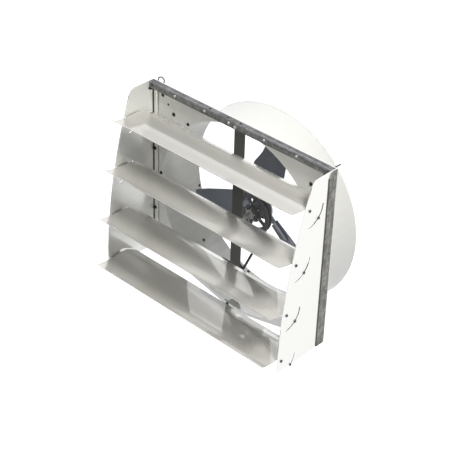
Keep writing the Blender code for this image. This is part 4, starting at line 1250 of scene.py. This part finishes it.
@dataclass
class Studio:
    """Pale floor, white surroundings, lamps and the camera at the photograph's view.

    Fields hold the camera's place, its three axes and its lens, the floor's height, half width,
    roughness and glow, the world's light, and the sun and lamps.
    """

    eye: Place = (3.1813, -3.5854, 2.7554)
    right: Way = (0.72643725, 0.68678509, 0.02480253)
    up: Way = (-0.40352, 0.39705, 0.82433)
    back: Way = (0.55629222, -0.60883489, 0.56556082)
    lens: float = 105.05
    sensor: float = 36.0
    sight: Pair = (0.05, 60.0)
    floor_z: float = -2.2
    floor_half: float = 14.0
    floor_rough: float = 0.9
    floor_glow: float = 0.62
    ambient: float = 0.24
    sun_travel: Way = (0.79, -1.0, -0.95)
    sun_strength: float = 2.4
    sun_degrees: float = 0.6
    sun_colour: Colour = (0.93, 0.95, 1.0)
    lamps: list[Lamp] = field(default_factory=lambda: [
        Lamp("key_right_top", (2.6, -1.0, 3.45), 1.3, 160.0, (1.0, 0.99, 0.96)),
    ])

    def build(self) -> None:
        """Builds the studio."""
        self.floor()
        self.surroundings()
        for lamp in self.lamps:
            lamp.build()
        self.rear_sun()
        self.camera()
        bpy.context.scene.view_settings.view_transform = "Standard"

    def rear_sun(self) -> None:
        """Low sun from behind the drum, which lays patches of light on the lower louvres."""
        light = bpy.data.lights.new("rear_sun", "SUN")
        light.angle = math.radians(self.sun_degrees)
        light.energy = self.sun_strength
        light.color = self.sun_colour
        sun = bpy.data.objects.new("rear_sun", light)
        sun.visible_glossy = False
        sun.rotation_euler = Vector(self.sun_travel).to_track_quat("-Z", "Y").to_euler()
        bpy.context.scene.collection.objects.link(sun)

    def floor(self) -> None:
        """Pale floor that shows near white and keeps the fan's shadow."""
        bm = bmesh.new()
        half = self.floor_half
        bm.faces.new([bm.verts.new((x, y, self.floor_z)) for x, y in (
            (-half, -half), (half, -half), (half, half), (-half, half))])
        mesh = bpy.data.meshes.new("studio_floor")
        bm.to_mesh(mesh)
        bm.free()
        floor = bpy.data.objects.new("studio_floor", mesh)
        bpy.context.scene.collection.objects.link(floor)
        graph = Graph("studio_floor")
        graph.shader.inputs["Roughness"].default_value = self.floor_rough
        graph.shader.inputs["Specular IOR Level"].default_value = 0.0
        tone = graph.ramp(graph.noise(scale=0.6, detail=2), [(0.3, 0.82), (0.7, 0.86)])
        graph.link(tone, "Base Color")
        path = graph.nodes.new("ShaderNodeLightPath")
        seen = graph.nodes.new("ShaderNodeMath")
        seen.operation = "ADD"
        seen.use_clamp = True
        graph.links.new(path.outputs["Is Camera Ray"], seen.inputs[0])
        graph.links.new(path.outputs["Is Glossy Ray"], seen.inputs[1])
        glow = graph.nodes.new("ShaderNodeMath")
        glow.operation = "MULTIPLY"
        glow.inputs[1].default_value = self.floor_glow
        graph.links.new(seen.outputs[0], glow.inputs[0])
        graph.shader.inputs["Emission Color"].default_value = (1, 1, 1, 1)
        graph.link(glow.outputs[0], "Emission Strength")
        mesh.materials.append(graph.material)

    def surroundings(self) -> None:
        """World that is white to the eye and in reflections, and gives a plain soft light."""
        world = bpy.data.worlds.new("studio")
        world.use_nodes = True
        bpy.context.scene.world = world
        nodes, links = world.node_tree.nodes, world.node_tree.links
        back = nodes["Background"]
        path = nodes.new("ShaderNodeLightPath")
        first = nodes.new("ShaderNodeMath")
        first.operation = "ADD"
        links.new(path.outputs["Is Camera Ray"], first.inputs[0])
        links.new(path.outputs["Is Glossy Ray"], first.inputs[1])
        second = nodes.new("ShaderNodeMath")
        second.operation = "ADD"
        second.use_clamp = True
        links.new(first.outputs[0], second.inputs[0])
        links.new(path.outputs["Is Transmission Ray"], second.inputs[1])
        level = nodes.new("ShaderNodeMapRange")
        level.inputs["To Min"].default_value = self.ambient
        level.inputs["To Max"].default_value = 1.0
        links.new(second.outputs[0], level.inputs["Value"])
        back.inputs["Color"].default_value = (1, 1, 1, 1)
        links.new(level.outputs["Result"], back.inputs["Strength"])

    def camera(self) -> None:
        """Camera at the photograph's place and turn."""
        data = bpy.data.cameras.new("camera")
        data.lens = self.lens
        data.sensor_width = self.sensor
        data.clip_start, data.clip_end = self.sight
        camera = bpy.data.objects.new("camera", data)
        turn = Matrix((self.right, self.up, self.back)).transposed().to_4x4()
        camera.matrix_world = Matrix.Translation(self.eye) @ turn
        bpy.context.scene.collection.objects.link(camera)
        bpy.context.scene.camera = camera


def main() -> None:
    """Builds and dresses the fan piece by piece, then its studio."""
    logging.basicConfig(level=logging.INFO, format="%(message)s")
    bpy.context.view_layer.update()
    HangingFrame().build()
    Housing().build()
    SidePlates().build()
    for index, (pivot, setting) in enumerate(LOUVRE_PLACES):
        Louvre(index + 1, pivot, setting).build()
    StrutAndShaft().build()
    Propeller().build()
    Drive().build()
    Studio().build()


if __name__ == "__main__":
    main()
